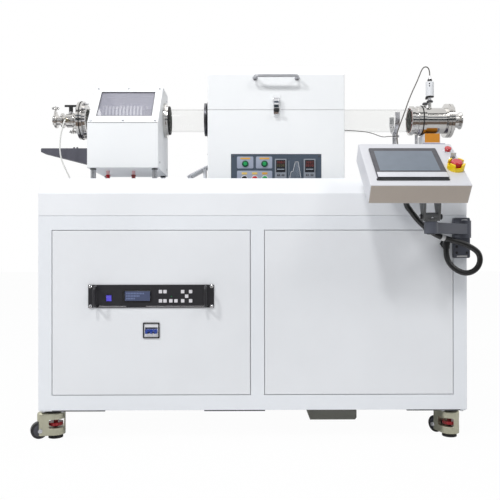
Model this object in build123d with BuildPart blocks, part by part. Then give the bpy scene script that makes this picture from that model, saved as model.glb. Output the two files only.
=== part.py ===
from build123d import *
import os
from math import atan2, cos, degrees, hypot, pi, radians, sin, tan

os.makedirs("parts", exist_ok=True)

# A split tube furnace with a plasma coil box, on a mobile cabinet. Millimetres. X runs along the quartz
# tube to the right, Y runs to the back, Z is up. The origin is on the floor, under the middle of the box
# that the whole machine fills. The console stands forward of the cabinet, so front_y is worked out from both.

# ---------------------------------------------------------------- driving dimensions
# cabinet
cabinet_width = 1650
cabinet_depth = 700
floor_gap = 118  # floor to the cabinet's underside
carcass_height = 747
skirt_height = 86.5
lip_rise = 66  # the worktop's front and back edges rise at 45 degrees beside a sunk deck
lip_land = 12
sheet = 3
frame_margin = 51  # face width of the outer frame members
mullion = 52
left_bay_width = 765
bay_top_margin = 54
bay_bottom_margin = 57
panel_gap = 2
panel_depth = 20
panel_sheet = 2
seat_width = 18
corner_round = 4
console_reach = 310  # console's front edge ahead of the cabinet's front
mains_gland_reach = 18
end_reach = 928  # from the middle to the tip of the bracket, and to the mouth of the pump port

# rack unit, a 19 inch case two units high
rack_width = 482.6
rack_height = 88.1
rack_plate = 4
rack_hole_x = 465.1
rack_hole_z = 76.2
rack_case_width = 440
rack_case_height = 84
rack_case_depth = 380
rack_rise = 381.5  # middle of the rack unit above the bay's bottom edge
handle_bar = 11
handle_reach = 36
handle_length = 84

# breaker
breaker_width = 63.5
breaker_height = 60
breaker_rise = 250
breaker_depth = 46
pole_pitch = 17.5
poles = 3

# casters
caster_inset_x = 49  # swivel axis from the cabinet's side
caster_inset_y = 60
caster_plate = 100
caster_plate_thickness = 6
wheel_radius = 33
wheel_width = 24
wheel_lift = 1.5  # wheels hang clear while the feet carry the load
caster_trail = 62
axle_radius = 4
foot_radius = 28
foot_travel = 12
stem_radius = 8
running_fit = 0.05
turning_gap = 0.3

# quartz tube, axis along X
tube_radius = 50
tube_wall = 4
tube_depth = 369  # axis behind the cabinet's front
tube_z = 1308
tube_left = -742
tube_right = 746
sliding_gap = 0.5  # round the tube, where a collar holds it

# furnace
furnace_width = 562
furnace_x = 97.5
furnace_front = 155
furnace_depth = 428
lid_height = 145
lid_bevel = 44
lid_top_rise = 187
parting_gap = 1.5
notch_gap = 8  # tube to the housing's round notches
chamber_radius = 64
insulation_height = 150
panel_width = 371
panel_height = 152
panel_rise = 24  # control panel above the deck
element_turns = 14
element_thickness = 4
element_width = 6
shield_radius = 80
shield_thickness = 11
lid_handle_length = 182
lid_handle_reach = 38
lid_handle_bar = 10
lid_handle_rise = 131
latch_width = 30
button_radius = 12
button_travel = 4
lamp_radius = 9

# plasma coil box
box_x = -531.5
box_width = 290
box_front = 155
box_depth = 327
box_leg_height = 120.5
box_leg_radius = 11
box_front_height = 184.5
box_height = 370.5
box_slope_depth = 159
window_width = 230
window_height = 166
window_thickness = 4
coil_turns = 12
coil_pitch = 15.2
coil_radius = 63
coil_rod = 4

# fittings at the tube's ends
flange_radius = 82.5
ring_radius = 64
seal_thickness = 4
pipe_radius = 20
valve_x = -801
chamber_tube_radius = 56.5
end_disc_radius = 74
port_bore = 26
port_lip_radius = 37.5
port_length = 44
gauge_radius = 17.5
stand_x = 634.5

# console
console_width = 345
console_length = 291
console_thickness = 74
console_tilt = 38
console_x = 564.5
console_front_z = 950
screen_module_width = 246
screen_module_length = 204
estop_radius = 20
shroud_radius = 30
arm_z = 811  # middle of the swing arm
arm_thickness = 42
wall_pivot_x = 800
wall_pivot_reach = 48
head_x = 628
head_reach = 200
hub_radius = 24
pin_radius = 8
tilt_pin_radius = 7
tilt_z = 850

# ---------------------------------------------------------------- datums
front_y = -(cabinet_depth + mains_gland_reach - console_reach) / 2
cabinet_y = front_y + cabinet_depth / 2
back_y = front_y + cabinet_depth
skirt_z = floor_gap + carcass_height
deck_z = skirt_z + skirt_height
lip_z = deck_z + lip_rise
tray_width = cabinet_width - 2 * lip_land
tray_depth = cabinet_depth - 2 * (lip_rise + lip_land)
bay_height = carcass_height - bay_top_margin - bay_bottom_margin
bay_z = floor_gap + bay_bottom_margin + bay_height / 2
right_bay_width = cabinet_width - 2 * frame_margin - mullion - left_bay_width
left_bay_x = -cabinet_width / 2 + frame_margin + left_bay_width / 2
right_bay_x = cabinet_width / 2 - frame_margin - right_bay_width / 2
bays = [(left_bay_x, left_bay_width), (right_bay_x, right_bay_width)]
rack_x = left_bay_x
rack_z = bay_z - bay_height / 2 + rack_rise
breaker_z = bay_z - bay_height / 2 + breaker_rise
tube_y = front_y + tube_depth
furnace_left = furnace_x - furnace_width / 2
furnace_right = furnace_x + furnace_width / 2
furnace_back = furnace_front + furnace_depth
box_left = box_x - box_width / 2
box_right = box_x + box_width / 2
box_z = deck_z + box_leg_height


caster_x = cabinet_width / 2 - caster_inset_x
caster_front_y = front_y + caster_inset_y
caster_back_y = back_y - caster_inset_y
# name: place of the swivel axis, and the direction the wheel trails in at rest, degrees from +X
casters = {
    "front_left": (-caster_x, caster_front_y, 205),
    "front_right": (caster_x, caster_front_y, 125),
    "back_left": (-caster_x, caster_back_y, 160),
    "back_right": (caster_x, caster_back_y, 60),
}
plate_z = floor_gap - caster_plate_thickness
race_height = 8


def level(z):
    """A horizontal plane at height z."""
    return Plane.XY.offset(z)


def facing(depth):
    """A plane that faces the user, depth behind the cabinet's front. Local axes are X and Z."""
    return Plane.XZ.offset(-(front_y + depth))


def across(x):
    """A plane across the tube at x. Local axes are Y and Z."""
    return Plane.YZ.offset(x)


def on_tube(x):
    """A plane across the tube at x, with its origin on the tube's axis."""
    return Plane(origin=(x, tube_y, tube_z), x_dir=(0, 1, 0), z_dir=(1, 0, 0))


def tipped(origin, angle):
    """A plane across X at origin, its local axes Y and Z turned by angle degrees."""
    turned = radians(angle)
    return Plane(origin=origin, x_dir=(0, cos(turned), sin(turned)), z_dir=(1, 0, 0))


tube_section = Plane(origin=(0, tube_y, tube_z), x_dir=(1, 0, 0), z_dir=(0, -1, 0))
tube_axis = Axis((0, tube_y, tube_z), (1, 0, 0))

# ================================================================ cabinet
with BuildPart() as cabinet_frame:
    with BuildSketch(level(floor_gap)):
        with Locations((0, cabinet_y)):
            Rectangle(cabinet_width, cabinet_depth)
    extrude(amount=carcass_height)
    with BuildSketch(level(floor_gap + sheet)):
        with Locations((0, cabinet_y)):
            Rectangle(cabinet_width - 2 * sheet, cabinet_depth - 2 * sheet)
    extrude(amount=carcass_height - 2 * sheet, mode=Mode.SUBTRACT)
    for bay_x, bay_width in bays:
        # a folded return round the bay, with an inward lip that the panel seats on
        with BuildSketch(facing(0)):
            with Locations((bay_x, bay_z)):
                Rectangle(bay_width + 2 * sheet, bay_height + 2 * sheet)
        extrude(amount=-(panel_depth + sheet))
        with BuildSketch(facing(0)):
            with Locations((bay_x, bay_z)):
                Rectangle(bay_width, bay_height)
        extrude(amount=-panel_depth, mode=Mode.SUBTRACT)
        with BuildSketch(facing(panel_depth)):
            with Locations((bay_x, bay_z)):
                Rectangle(bay_width - 2 * seat_width, bay_height - 2 * seat_width)
        extrude(amount=-sheet, mode=Mode.SUBTRACT)
    # mounting plates and swivel races of the casters, bolted under the floor sheet
    for swivel_x, swivel_y, trail_angle in casters.values():
        with BuildSketch(level(plate_z)):
            with Locations((swivel_x, swivel_y)):
                RectangleRounded(caster_plate, caster_plate, 8)
                with GridLocations(74, 74, 2, 2):
                    Circle(4.5, mode=Mode.SUBTRACT)
        extrude(amount=caster_plate_thickness)
        with BuildSketch(level(plate_z)):
            with Locations((swivel_x, swivel_y)):
                Circle(33)
        extrude(amount=-race_height)
    # ventilation slots in the back sheet
    with BuildSketch(facing(cabinet_depth - sheet)):
        for bay_x, bay_width in bays:
            with Locations((bay_x, skirt_z - 130)):
                with GridLocations(1, 22, 1, 6):
                    SlotOverall(220, 8)
    extrude(amount=-sheet, mode=Mode.SUBTRACT)
    # mains gland low on the back
    with BuildSketch(facing(cabinet_depth)):
        with Locations((left_bay_x, floor_gap + 90)):
            RegularPolygon(21, 6)
    extrude(amount=-8)
    with BuildSketch(facing(cabinet_depth)):
        with Locations((left_bay_x, floor_gap + 90)):
            Circle(16)
    extrude(amount=-mains_gland_reach)
    with BuildSketch(facing(cabinet_depth)):
        with Locations((left_bay_x, floor_gap + 90)):
            Circle(10)
    extrude(amount=-mains_gland_reach, mode=Mode.SUBTRACT)
cabinet_frame.part.label = "cabinet_frame"
export_step(cabinet_frame.part, "parts/cabinet_frame.step")

# deck fittings: a gas bulkhead for the white hose and a grommet for the gauge's cable
gas_inlet_xy = (-776, front_y + 300)
cable_inlet_xy = (638, front_y + 262)
fitting_height = 22

with BuildPart() as worktop:
    with BuildSketch(across(0)):
        with BuildLine():
            Polyline(
                (front_y, skirt_z),
                (front_y, deck_z),
                (front_y + lip_rise, lip_z),
                (back_y - lip_rise, lip_z),
                (back_y, deck_z),
                (back_y, skirt_z),
                close=True,
            )
        make_face()
    extrude(amount=cabinet_width / 2, both=True)
    with BuildSketch(level(deck_z)):
        with Locations((0, cabinet_y)):
            Rectangle(tray_width, tray_depth)
    extrude(amount=lip_rise, mode=Mode.SUBTRACT)
    offset(amount=-sheet, openings=worktop.faces().sort_by(Axis.Z)[0])
    # shadow groove between skirt and cabinet
    with BuildSketch(level(skirt_z)):
        with Locations((0, cabinet_y)):
            Rectangle(cabinet_width, cabinet_depth)
            Rectangle(cabinet_width - sheet, cabinet_depth - sheet, mode=Mode.SUBTRACT)
    extrude(amount=2, mode=Mode.SUBTRACT)
    with BuildSketch(level(deck_z)):
        for inlet in (gas_inlet_xy, cable_inlet_xy):
            with Locations(inlet):
                RegularPolygon(9, 6)
    extrude(amount=fitting_height / 2)
    with BuildSketch(level(deck_z)):
        for inlet in (gas_inlet_xy, cable_inlet_xy):
            with Locations(inlet):
                Circle(6)
    extrude(amount=fitting_height)
worktop.part.label = "worktop"
export_step(worktop.part, "parts/worktop.step")

# the hose from the console comes up into an elbow on the right-hand panel
hose_gland_x = 737
hose_gland_z = 757
elbow_reach = 27  # hose's axis ahead of the panel
elbow_drop = 19  # from the elbow's axis to the hose's end face
hose_radius = 10.5

with BuildPart() as left_panel:
    with BuildSketch(facing(0)):
        with Locations((left_bay_x, bay_z)):
            Rectangle(left_bay_width - 2 * panel_gap, bay_height - 2 * panel_gap)
    extrude(amount=-panel_depth)
    fillet(left_panel.faces().sort_by(Axis.Y)[0].edges(), radius=panel_sheet + 1)
    offset(amount=-panel_sheet, openings=left_panel.faces().sort_by(Axis.Y)[-1])
    with BuildSketch(facing(0)):
        with Locations((rack_x, rack_z)):
            Rectangle(rack_case_width + 2, rack_case_height + 2)
        with Locations((rack_x, breaker_z)):
            Rectangle(pole_pitch * poles + 3, breaker_height - 8)
    extrude(amount=-panel_depth, mode=Mode.SUBTRACT)
left_panel.part.label = "left_panel"
export_step(left_panel.part, "parts/left_panel.step")

with BuildPart() as right_panel:
    with BuildSketch(facing(0)):
        with Locations((right_bay_x, bay_z)):
            Rectangle(right_bay_width - 2 * panel_gap, bay_height - 2 * panel_gap)
    extrude(amount=-panel_depth)
    fillet(right_panel.faces().sort_by(Axis.Y)[0].edges(), radius=panel_sheet + 1)
    offset(amount=-panel_sheet, openings=right_panel.faces().sort_by(Axis.Y)[-1])
    # screwed elbow gland for the console's hose
    with BuildSketch(facing(0)):
        with Locations((hose_gland_x, hose_gland_z)):
            RegularPolygon(hose_radius + 6, 6)
    extrude(amount=7)
    with BuildSketch(facing(0)):
        with Locations((hose_gland_x, hose_gland_z)):
            Circle(hose_radius + 1)
    extrude(amount=elbow_reach + hose_radius)
    with BuildSketch(level(hose_gland_z)):
        with Locations((hose_gland_x, front_y - elbow_reach)):
            Circle(hose_radius + 2)
    extrude(amount=-elbow_drop)
right_panel.part.label = "right_panel"
export_step(right_panel.part, "parts/right_panel.step")

# ---------------------------------------------------------------- rack unit in the left panel
rocker_x = rack_x - 162
rocker_z = rack_z - 7
rocker_width = 19.6
rocker_height = 22.4
rocker_swing = 8  # each side of level
display_width = 100
display_height = 41
key_size = 13
key_columns = [36.2, 53.5, 121.3, 151.7]
lower_key_columns = key_columns + [75.8, 95.5]
key_row = 17.7

with BuildPart() as rack_unit:
    with BuildSketch(facing(-rack_plate)):
        with Locations((rack_x, rack_z)):
            RectangleRounded(rack_width, rack_height, 2)
            with GridLocations(rack_hole_x, rack_hole_z, 2, 2):
                SlotOverall(10, 6.8, mode=Mode.SUBTRACT)
    extrude(amount=-rack_plate)
    with BuildSketch(facing(0)):
        with Locations((rack_x, rack_z)):
            Rectangle(rack_case_width, rack_case_height)
    extrude(amount=-rack_case_depth)
    with BuildSketch(facing(sheet + 20)):
        with Locations((rack_x, rack_z)):
            Rectangle(rack_case_width - 2 * sheet, rack_case_height - 2 * sheet)
    extrude(amount=-(rack_case_depth - 2 * sheet - 20), mode=Mode.SUBTRACT)
    # pocket for the rocker switch and recess for the display
    with BuildSketch(facing(-rack_plate)):
        with Locations((rocker_x, rocker_z)):
            Rectangle(rocker_width + 1, rocker_height + 2.6)
    extrude(amount=-(rack_plate + 14), mode=Mode.SUBTRACT)
    with BuildSketch(facing(-rack_plate)):
        with Locations((rack_x - 60.5, rack_z)):
            Rectangle(display_width, display_height)
    extrude(amount=-3, mode=Mode.SUBTRACT)
    # two pull handles, bent from bar
    for side in (-1, 1):
        handle_x = rack_x + side * 210
        grip_top = handle_length / 2 - handle_bar / 2
        route = Plane(origin=(handle_x, front_y - rack_plate, rack_z), x_dir=(0, -1, 0), z_dir=(1, 0, 0))
        with BuildLine(route) as bow:
            FilletPolyline(
                (0, -grip_top),
                (handle_reach, -grip_top),
                (handle_reach, grip_top),
                (0, grip_top),
                radius=12,
            )
        with BuildSketch(Plane(origin=bow.line @ 0, z_dir=bow.line % 0)):
            Circle(handle_bar / 2)
        sweep(path=bow.line)
rack_unit.part.label = "rack_unit"
export_step(rack_unit.part, "parts/rack_unit.step")

with BuildPart() as rack_controls:
    with BuildSketch(facing(-rack_plate + 3)):
        with Locations((rack_x - 60.5, rack_z)):
            Rectangle(display_width, display_height)
    extrude(amount=2)
    with BuildSketch(facing(-rack_plate)):
        for column in key_columns:
            with Locations((rack_x + column, rack_z + key_row)):
                RectangleRounded(key_size, key_size, 1.5)
        for column in lower_key_columns:
            with Locations((rack_x + column, rack_z - key_row)):
                RectangleRounded(key_size, key_size, 1.5)
        with Locations((rack_x + (key_columns[2] + key_columns[3]) / 2, rack_z)):
            RectangleRounded(key_size, key_size, 1.5)
    extrude(amount=3)
rack_controls.part.label = "rack_controls"
export_step(rack_controls.part, "parts/rack_controls.step")

# a rocker with a shallow V face, standing tipped to one side
rocker_pivot = tipped((rocker_x, front_y - rack_plate + 1, rocker_z), rocker_swing)
half_rocker = rocker_height / 2 - 0.3

with BuildPart() as rack_rocker:
    with BuildSketch(rocker_pivot):
        Polygon(
            (-4.5, -half_rocker),
            (-2, 0),
            (-4.5, half_rocker),
            (2, half_rocker),
            (9, 3),
            (9, -3),
            (2, -half_rocker),
            align=None,
        )
    extrude(amount=rocker_width / 2, both=True)
rack_rocker.part.label = "rack_rocker"
export_step(rack_rocker.part, "parts/rack_rocker.step")

# ---------------------------------------------------------------- breaker
toggle_slot_height = 24
toggle_pivot_depth = 9
toggle_swing = 28  # each side of level
breaker_bezel = 4

with BuildPart() as breaker_body:
    with BuildSketch(facing(-breaker_bezel)):
        with Locations((rack_x, breaker_z)):
            RectangleRounded(breaker_width, breaker_height, 2)
            Rectangle(breaker_width - 10, breaker_height - 9, mode=Mode.SUBTRACT)
    extrude(amount=-breaker_bezel)
    with BuildSketch(facing(-1)):
        with Locations((rack_x, breaker_z)):
            Rectangle(breaker_width - 10, breaker_height - 9)
    extrude(amount=-1)
    with BuildSketch(facing(0)):
        with Locations((rack_x, breaker_z)):
            Rectangle(pole_pitch * poles, breaker_height - 10)
    extrude(amount=-breaker_depth)
    with BuildSketch(facing(-1)):
        with Locations((rack_x, breaker_z)):
            Rectangle(pole_pitch * poles - 4, toggle_slot_height)
    extrude(amount=-20, mode=Mode.SUBTRACT)
breaker_body.part.label = "breaker_body"
export_step(breaker_body.part, "parts/breaker_body.step")

toggle_plane = tipped((rack_x, front_y + toggle_pivot_depth, breaker_z), toggle_swing)
toggle_half_width = pole_pitch * poles / 2 - 2.3
with BuildPart() as breaker_toggle:
    # barrel on the pivot, and the bar that ties the three levers
    with BuildSketch(toggle_plane):
        Circle(5.5)
        with Locations((-8, 0)):
            Rectangle(6, 5)
    extrude(amount=toggle_half_width, both=True)
    for pole in range(poles):
        lever_plane = toggle_plane.offset((pole - (poles - 1) / 2) * pole_pitch)
        with BuildSketch(lever_plane):
            with Locations((-11.5, 0)):
                Rectangle(21, 4.4)
        extrude(amount=4.5, both=True)
breaker_toggle.part.label = "breaker_toggle"
export_step(breaker_toggle.part, "parts/breaker_toggle.step")

# ---------------------------------------------------------------- grey box under the cabinet
under_box_x = 309
under_box_depth = 60
under_box_width = 200
under_box_length = 260
under_box_height = 54

with BuildPart() as underside_box:
    with BuildSketch(facing(under_box_depth)):
        with Locations((under_box_x, floor_gap)):
            Polygon(
                (-under_box_width / 2, 0),
                (-under_box_width / 2 + 16, -under_box_height),
                (under_box_width / 2 - 6, -under_box_height),
                (under_box_width / 2, -under_box_height + 8),
                (under_box_width / 2, 0),
                align=None,
            )
    extrude(amount=-under_box_length)
    # stepped mounting ears at the two upper front corners
    with BuildSketch(facing(under_box_depth)):
        with Locations((under_box_x - under_box_width / 2 + 9, floor_gap - 7)):
            Rectangle(24, 10)
        with Locations((under_box_x + under_box_width / 2 - 6, floor_gap - 10)):
            Rectangle(16, 16)
    extrude(amount=-8, mode=Mode.SUBTRACT)
underside_box.part.label = "underside_box"
export_step(underside_box.part, "parts/underside_box.step")

# ================================================================ levelling casters
housing_top = plate_z - race_height - turning_gap
housing_bottom = 15
wheel_z = wheel_radius + wheel_lift
fork_gap = 1.5
window_low = 42
window_high = 76
thumb_low = 49
thumb_height = 12
recess_high = 29

for corner, (swivel_x, swivel_y, trail_angle) in casters.items():
    swivel = Plane(
        origin=(swivel_x, swivel_y, 0),
        x_dir=(cos(radians(trail_angle)), sin(radians(trail_angle)), 0),
        z_dir=(0, 0, 1),
    )
    side_on = Plane(origin=swivel.origin, x_dir=swivel.x_dir, z_dir=-swivel.y_dir)
    # cast housing: a rounded pod, cut for the wheel, the window, the foot's recess and its stem
    with BuildPart() as caster_housing:
        with BuildSketch(swivel.offset(housing_bottom)):
            Circle(37)
            with Locations((caster_trail - 16, 0)):
                Circle(24)
            make_hull()
        extrude(amount=housing_top - housing_bottom)
        fillet(caster_housing.faces().sort_by(Axis.Z)[-1].edges(), radius=9)
        with BuildSketch(side_on):
            with Locations((caster_trail, wheel_z)):
                Circle(wheel_radius + 3)
            with Locations((caster_trail + 20, wheel_z)):
                Rectangle(40, 2 * wheel_radius + 6)
            with Locations((caster_trail, wheel_z / 2)):
                Rectangle(2 * wheel_radius, wheel_z)
        extrude(amount=wheel_width / 2 + fork_gap, both=True, mode=Mode.SUBTRACT)
        with BuildSketch(side_on):
            with Locations((-1, (window_low + window_high) / 2)):
                RectangleRounded(2 * foot_radius + 8, window_high - window_low, 5)
        extrude(amount=60, both=True, mode=Mode.SUBTRACT)
        with BuildSketch(swivel.offset(housing_bottom)):
            Circle(foot_radius + 1.5)
        extrude(amount=recess_high - housing_bottom, mode=Mode.SUBTRACT)
        with BuildSketch(swivel.offset(housing_bottom)):
            Circle(stem_radius + running_fit)
        extrude(amount=housing_top - housing_bottom - 9, mode=Mode.SUBTRACT)
        with BuildSketch(side_on):
            with Locations((caster_trail, wheel_z)):
                Circle(axle_radius)
        extrude(amount=wheel_width / 2 + fork_gap + 8, both=True)
    housing_label = f"caster_housing_{corner}"
    caster_housing.part.label = housing_label
    export_step(caster_housing.part, f"parts/{housing_label}.step")

    with BuildPart() as caster_wheel:
        with BuildSketch(side_on):
            with Locations((caster_trail, wheel_z)):
                Circle(wheel_radius)
        extrude(amount=wheel_width / 2, both=True)
        fillet(caster_wheel.edges().filter_by(GeomType.CIRCLE), radius=4)
        with BuildSketch(side_on):
            with Locations((caster_trail, wheel_z)):
                Circle(axle_radius + running_fit)
        extrude(amount=wheel_width / 2, both=True, mode=Mode.SUBTRACT)
    wheel_label = f"caster_wheel_{corner}"
    caster_wheel.part.label = wheel_label
    export_step(caster_wheel.part, f"parts/{wheel_label}.step")

    # rubber pad, screw stem and ribbed thumbwheel turn and travel as one
    with BuildPart() as levelling_foot:
        with BuildSketch(swivel):
            Circle(foot_radius)
        extrude(amount=9)
        with BuildSketch(swivel.offset(9)):
            Circle(foot_radius)
        extrude(amount=5, taper=50)
        with BuildSketch(swivel.offset(9)):
            Circle(stem_radius)
        extrude(amount=housing_top - 9 - foot_travel - 9 - 2)
        with BuildSketch(swivel.offset(thumb_low)):
            Circle(foot_radius)
            with PolarLocations(foot_radius, 14):
                Circle(2.2, mode=Mode.SUBTRACT)
        extrude(amount=thumb_height)
    foot_label = f"levelling_foot_{corner}"
    levelling_foot.part.label = foot_label
    export_step(levelling_foot.part, f"parts/{foot_label}.step")

# ================================================================ furnace
parting_z = tube_z
lid_z = parting_z + parting_gap
notch_radius = tube_radius + notch_gap
panel_z = deck_z + panel_rise + panel_height / 2
lid_y = front_y + furnace_front
hinge_radius = 7
hinge_y = front_y + furnace_back + hinge_radius + 3
hinge_z = parting_z
hinge_length = 60
hinge_spread = furnace_width - 160
keeper_z = parting_z - 12
lead_gland_depth = 300
lead_gland_z = 1252
lead_gland_reach = 9

with BuildPart() as furnace_body:
    with BuildSketch(level(deck_z)):
        with Locations((furnace_x, lid_y + furnace_depth / 2)):
            Rectangle(furnace_width, furnace_depth)
    extrude(amount=parting_z - deck_z)
    fillet(furnace_body.edges().filter_by(Axis.Z), radius=corner_round)
    offset(amount=-sheet, openings=furnace_body.faces().sort_by(Axis.Z)[-1])
    # round notches where the tube enters and leaves
    with BuildSketch(on_tube(furnace_left)):
        Circle(notch_radius)
    extrude(amount=furnace_width, mode=Mode.SUBTRACT)
    with BuildSketch(facing(furnace_front)):
        with Locations((furnace_x, panel_z)):
            Rectangle(panel_width, panel_height)
    extrude(amount=-sheet, mode=Mode.SUBTRACT)
    # shelf that carries the insulation
    with BuildSketch(level(parting_z - insulation_height - sheet)):
        with Locations((furnace_x, lid_y + furnace_depth / 2)):
            Rectangle(furnace_width - 2 * sheet, furnace_depth - 2 * sheet)
    extrude(amount=sheet)
    # keeper of the latch
    with BuildSketch(facing(furnace_front)):
        with Locations((furnace_x, keeper_z - 5)):
            Rectangle(18, 20)
    extrude(amount=4)
    # gland of the thermocouple's lead
    with BuildSketch(across(furnace_right)):
        with Locations((front_y + lead_gland_depth, lead_gland_z)):
            Circle(5)
    extrude(amount=lead_gland_reach)
    # outer hinge knuckles on arms from the back sheet, with the pin
    for side in (-1, 1):
        for knuckle in (-1, 1):
            knuckle_x = side * hinge_spread / 2 + knuckle * hinge_length / 3
            with BuildSketch(across(furnace_x + knuckle_x)):
                with Locations((hinge_y, hinge_z)):
                    Circle(hinge_radius)
                with Locations((hinge_y - hinge_radius / 2 - 1.5, hinge_z - 12)):
                    Rectangle(hinge_radius + 3, 24)
            extrude(amount=hinge_length / 6 - turning_gap / 2, both=True)
        with BuildSketch(across(furnace_x + side * hinge_spread / 2)):
            with Locations((hinge_y, hinge_z)):
                Circle(3)
        extrude(amount=hinge_length / 2, both=True)
furnace_body.part.label = "furnace_body"
export_step(furnace_body.part, "parts/furnace_body.step")

insulation_z = parting_z - insulation_height
end_block = 62  # length of the narrower insulation at each end
insulation_width = furnace_width - 2 * sheet - 2
insulation_depth = furnace_depth - 2 * sheet - 2
heated_length = insulation_width - 2 * end_block

with BuildPart() as lower_insulation:
    with BuildSketch(level(insulation_z)):
        with Locations((furnace_x, lid_y + furnace_depth / 2)):
            Rectangle(insulation_width, insulation_depth)
    extrude(amount=insulation_height - 0.5)
    with BuildSketch(on_tube(furnace_x)):
        Circle(chamber_radius)
    extrude(amount=heated_length / 2, both=True, mode=Mode.SUBTRACT)
    with BuildSketch(on_tube(furnace_x)):
        Circle(tube_radius + 2)
    extrude(amount=furnace_width / 2, both=True, mode=Mode.SUBTRACT)
lower_insulation.part.label = "lower_insulation"
export_step(lower_insulation.part, "parts/lower_insulation.step")

with BuildPart() as lid_insulation:
    with BuildSketch(level(lid_z + 0.5)):
        with Locations((furnace_x, lid_y + furnace_depth / 2)):
            Rectangle(insulation_width, insulation_depth)
    extrude(amount=lid_height - sheet - 6)
    with BuildSketch(on_tube(furnace_x)):
        Circle(chamber_radius)
    extrude(amount=heated_length / 2, both=True, mode=Mode.SUBTRACT)
    with BuildSketch(on_tube(furnace_x)):
        Circle(tube_radius + 2)
    extrude(amount=furnace_width / 2, both=True, mode=Mode.SUBTRACT)
lid_insulation.part.label = "lid_insulation"
export_step(lid_insulation.part, "parts/lid_insulation.step")

# The heating elements are flat ribbons that run to and fro round each half of the chamber. Each arc stops
# short of the parting plane, and links at alternate ends join it to the next.
element_outer = chamber_radius - 0.3
element_inner = element_outer - element_thickness
element_pitch = (heated_length - 30) / element_turns
arc_end = 12  # degrees from the parting plane to the end of each arc


def element_sector(x, start, sweep):
    """A ring sector of the ribbon across the tube at x, angles measured from +Y towards +Z."""
    with BuildSketch(on_tube(x)) as sector:
        with BuildLine():
            outer = CenterArc((0, 0), element_outer, start, sweep)
            inner = CenterArc((0, 0), element_inner, start, sweep)
            Line(outer @ 0, inner @ 0)
            Line(outer @ 1, inner @ 1)
        make_face()
    return sector.sketch


def heating_element(first_angle):
    """A ribbon on the half circle that starts at first_angle."""
    first_x = furnace_x - element_pitch * (element_turns - 1) / 2
    sweep = 180 - 2 * arc_end
    foot = 5  # degrees that a link spans
    with BuildPart() as ribbon:
        for turn in range(element_turns):
            turn_x = first_x + turn * element_pitch
            extrude(element_sector(turn_x, first_angle + arc_end, sweep), element_width / 2, both=True)
            if turn + 1 < element_turns:
                link_start = first_angle + arc_end
                if turn % 2:
                    link_start = first_angle + 180 - arc_end - foot
                extrude(element_sector(turn_x, link_start, foot), element_pitch)
    return ribbon


lower_element = heating_element(180)
lower_element.part.label = "lower_element"
export_step(lower_element.part, "parts/lower_element.step")

lid_element = heating_element(0)
lid_element.part.label = "lid_element"
export_step(lid_element.part, "parts/lid_element.step")

# ---------------------------------------------------------------- lid
latch_z = parting_z + 42
latch_y = lid_y - 12
latch_ear = 3.5
latch_round = 7.2  # lever's top, round about the pin so that it clears the base plate

with BuildPart() as lid_shell:
    with BuildSketch(across(furnace_left)):
        Polygon(
            (lid_y, lid_z),
            (lid_y, parting_z + lid_height),
            (lid_y + lid_bevel, parting_z + lid_top_rise),
            (lid_y + furnace_depth - lid_bevel, parting_z + lid_top_rise),
            (lid_y + furnace_depth, parting_z + lid_height),
            (lid_y + furnace_depth, lid_z),
            align=None,
        )
    extrude(amount=furnace_width)
    fillet(lid_shell.edges().filter_by(Axis.Z), radius=corner_round)
    offset(amount=-sheet, openings=lid_shell.faces().sort_by(Axis.Z)[0])
    with BuildSketch(on_tube(furnace_left)):
        Circle(notch_radius)
    extrude(amount=furnace_width, mode=Mode.SUBTRACT)
    # latch base: a plate with two ears and their pin
    with BuildSketch(facing(furnace_front)):
        with Locations((furnace_x, latch_z)):
            RectangleRounded(latch_width + 6, 46, 4)
    extrude(amount=2.5)
    with BuildSketch(across(furnace_x)):
        with Locations((latch_y + 4, latch_z)):
            Rectangle(16, 12)
    extrude(amount=latch_width / 2, both=True)
    with BuildSketch(across(furnace_x)):
        with Locations((latch_y + 2, latch_z)):
            Rectangle(24, 24)
    extrude(amount=latch_width / 2 - latch_ear, both=True, mode=Mode.SUBTRACT)
    with BuildSketch(facing(furnace_front)):
        with Locations((furnace_x, latch_z)):
            RectangleRounded(latch_width + 6, 46, 4)
    extrude(amount=2.5)
    with BuildSketch(across(furnace_x)):
        with Locations((latch_y, latch_z)):
            Circle(3)
    extrude(amount=latch_width / 2, both=True)
    # middle hinge knuckles
    for side in (-1, 1):
        with BuildSketch(across(furnace_x + side * hinge_spread / 2)):
            with Locations((hinge_y, hinge_z)):
                Circle(hinge_radius)
            with Locations((hinge_y - hinge_radius / 2 - 1.5, hinge_z + 12 + parting_gap)):
                Rectangle(hinge_radius + 3, 24)
        extrude(amount=hinge_length / 6 - turning_gap / 2, both=True)
        with BuildSketch(across(furnace_x + side * hinge_spread / 2)):
            with Locations((hinge_y, hinge_z)):
                Circle(3 + running_fit)
        extrude(amount=hinge_length / 2, both=True, mode=Mode.SUBTRACT)
lid_shell.part.label = "lid_shell"
export_step(lid_shell.part, "parts/lid_shell.step")

# over-centre latch lever, bulged outwards, turning on the ears' pin
with BuildPart() as draw_latch:
    with BuildSketch(across(furnace_x)):
        with BuildLine():
            Polyline(
                (latch_y + latch_round, latch_z),
                (latch_y + latch_round, parting_z - 16),
                (latch_y + 1, parting_z - 19),
            )
            ThreePointArc(
                (latch_y + 1, parting_z - 19),
                (latch_y - 9, latch_z - 24),
                (latch_y - latch_round, latch_z),
            )
            ThreePointArc(
                (latch_y - latch_round, latch_z),
                (latch_y, latch_z + latch_round),
                (latch_y + latch_round, latch_z),
            )
        make_face()
    extrude(amount=latch_width / 2 - latch_ear - turning_gap, both=True)
    bulge = draw_latch.edges().filter_by(GeomType.CIRCLE).filter_by(lambda edge: edge.length > 40)
    fillet(bulge, radius=2.5)
    with BuildSketch(across(furnace_x)):
        with Locations((latch_y, latch_z)):
            Circle(3 + running_fit)
    extrude(amount=latch_width / 2, both=True, mode=Mode.SUBTRACT)
draw_latch.part.label = "draw_latch"
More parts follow.
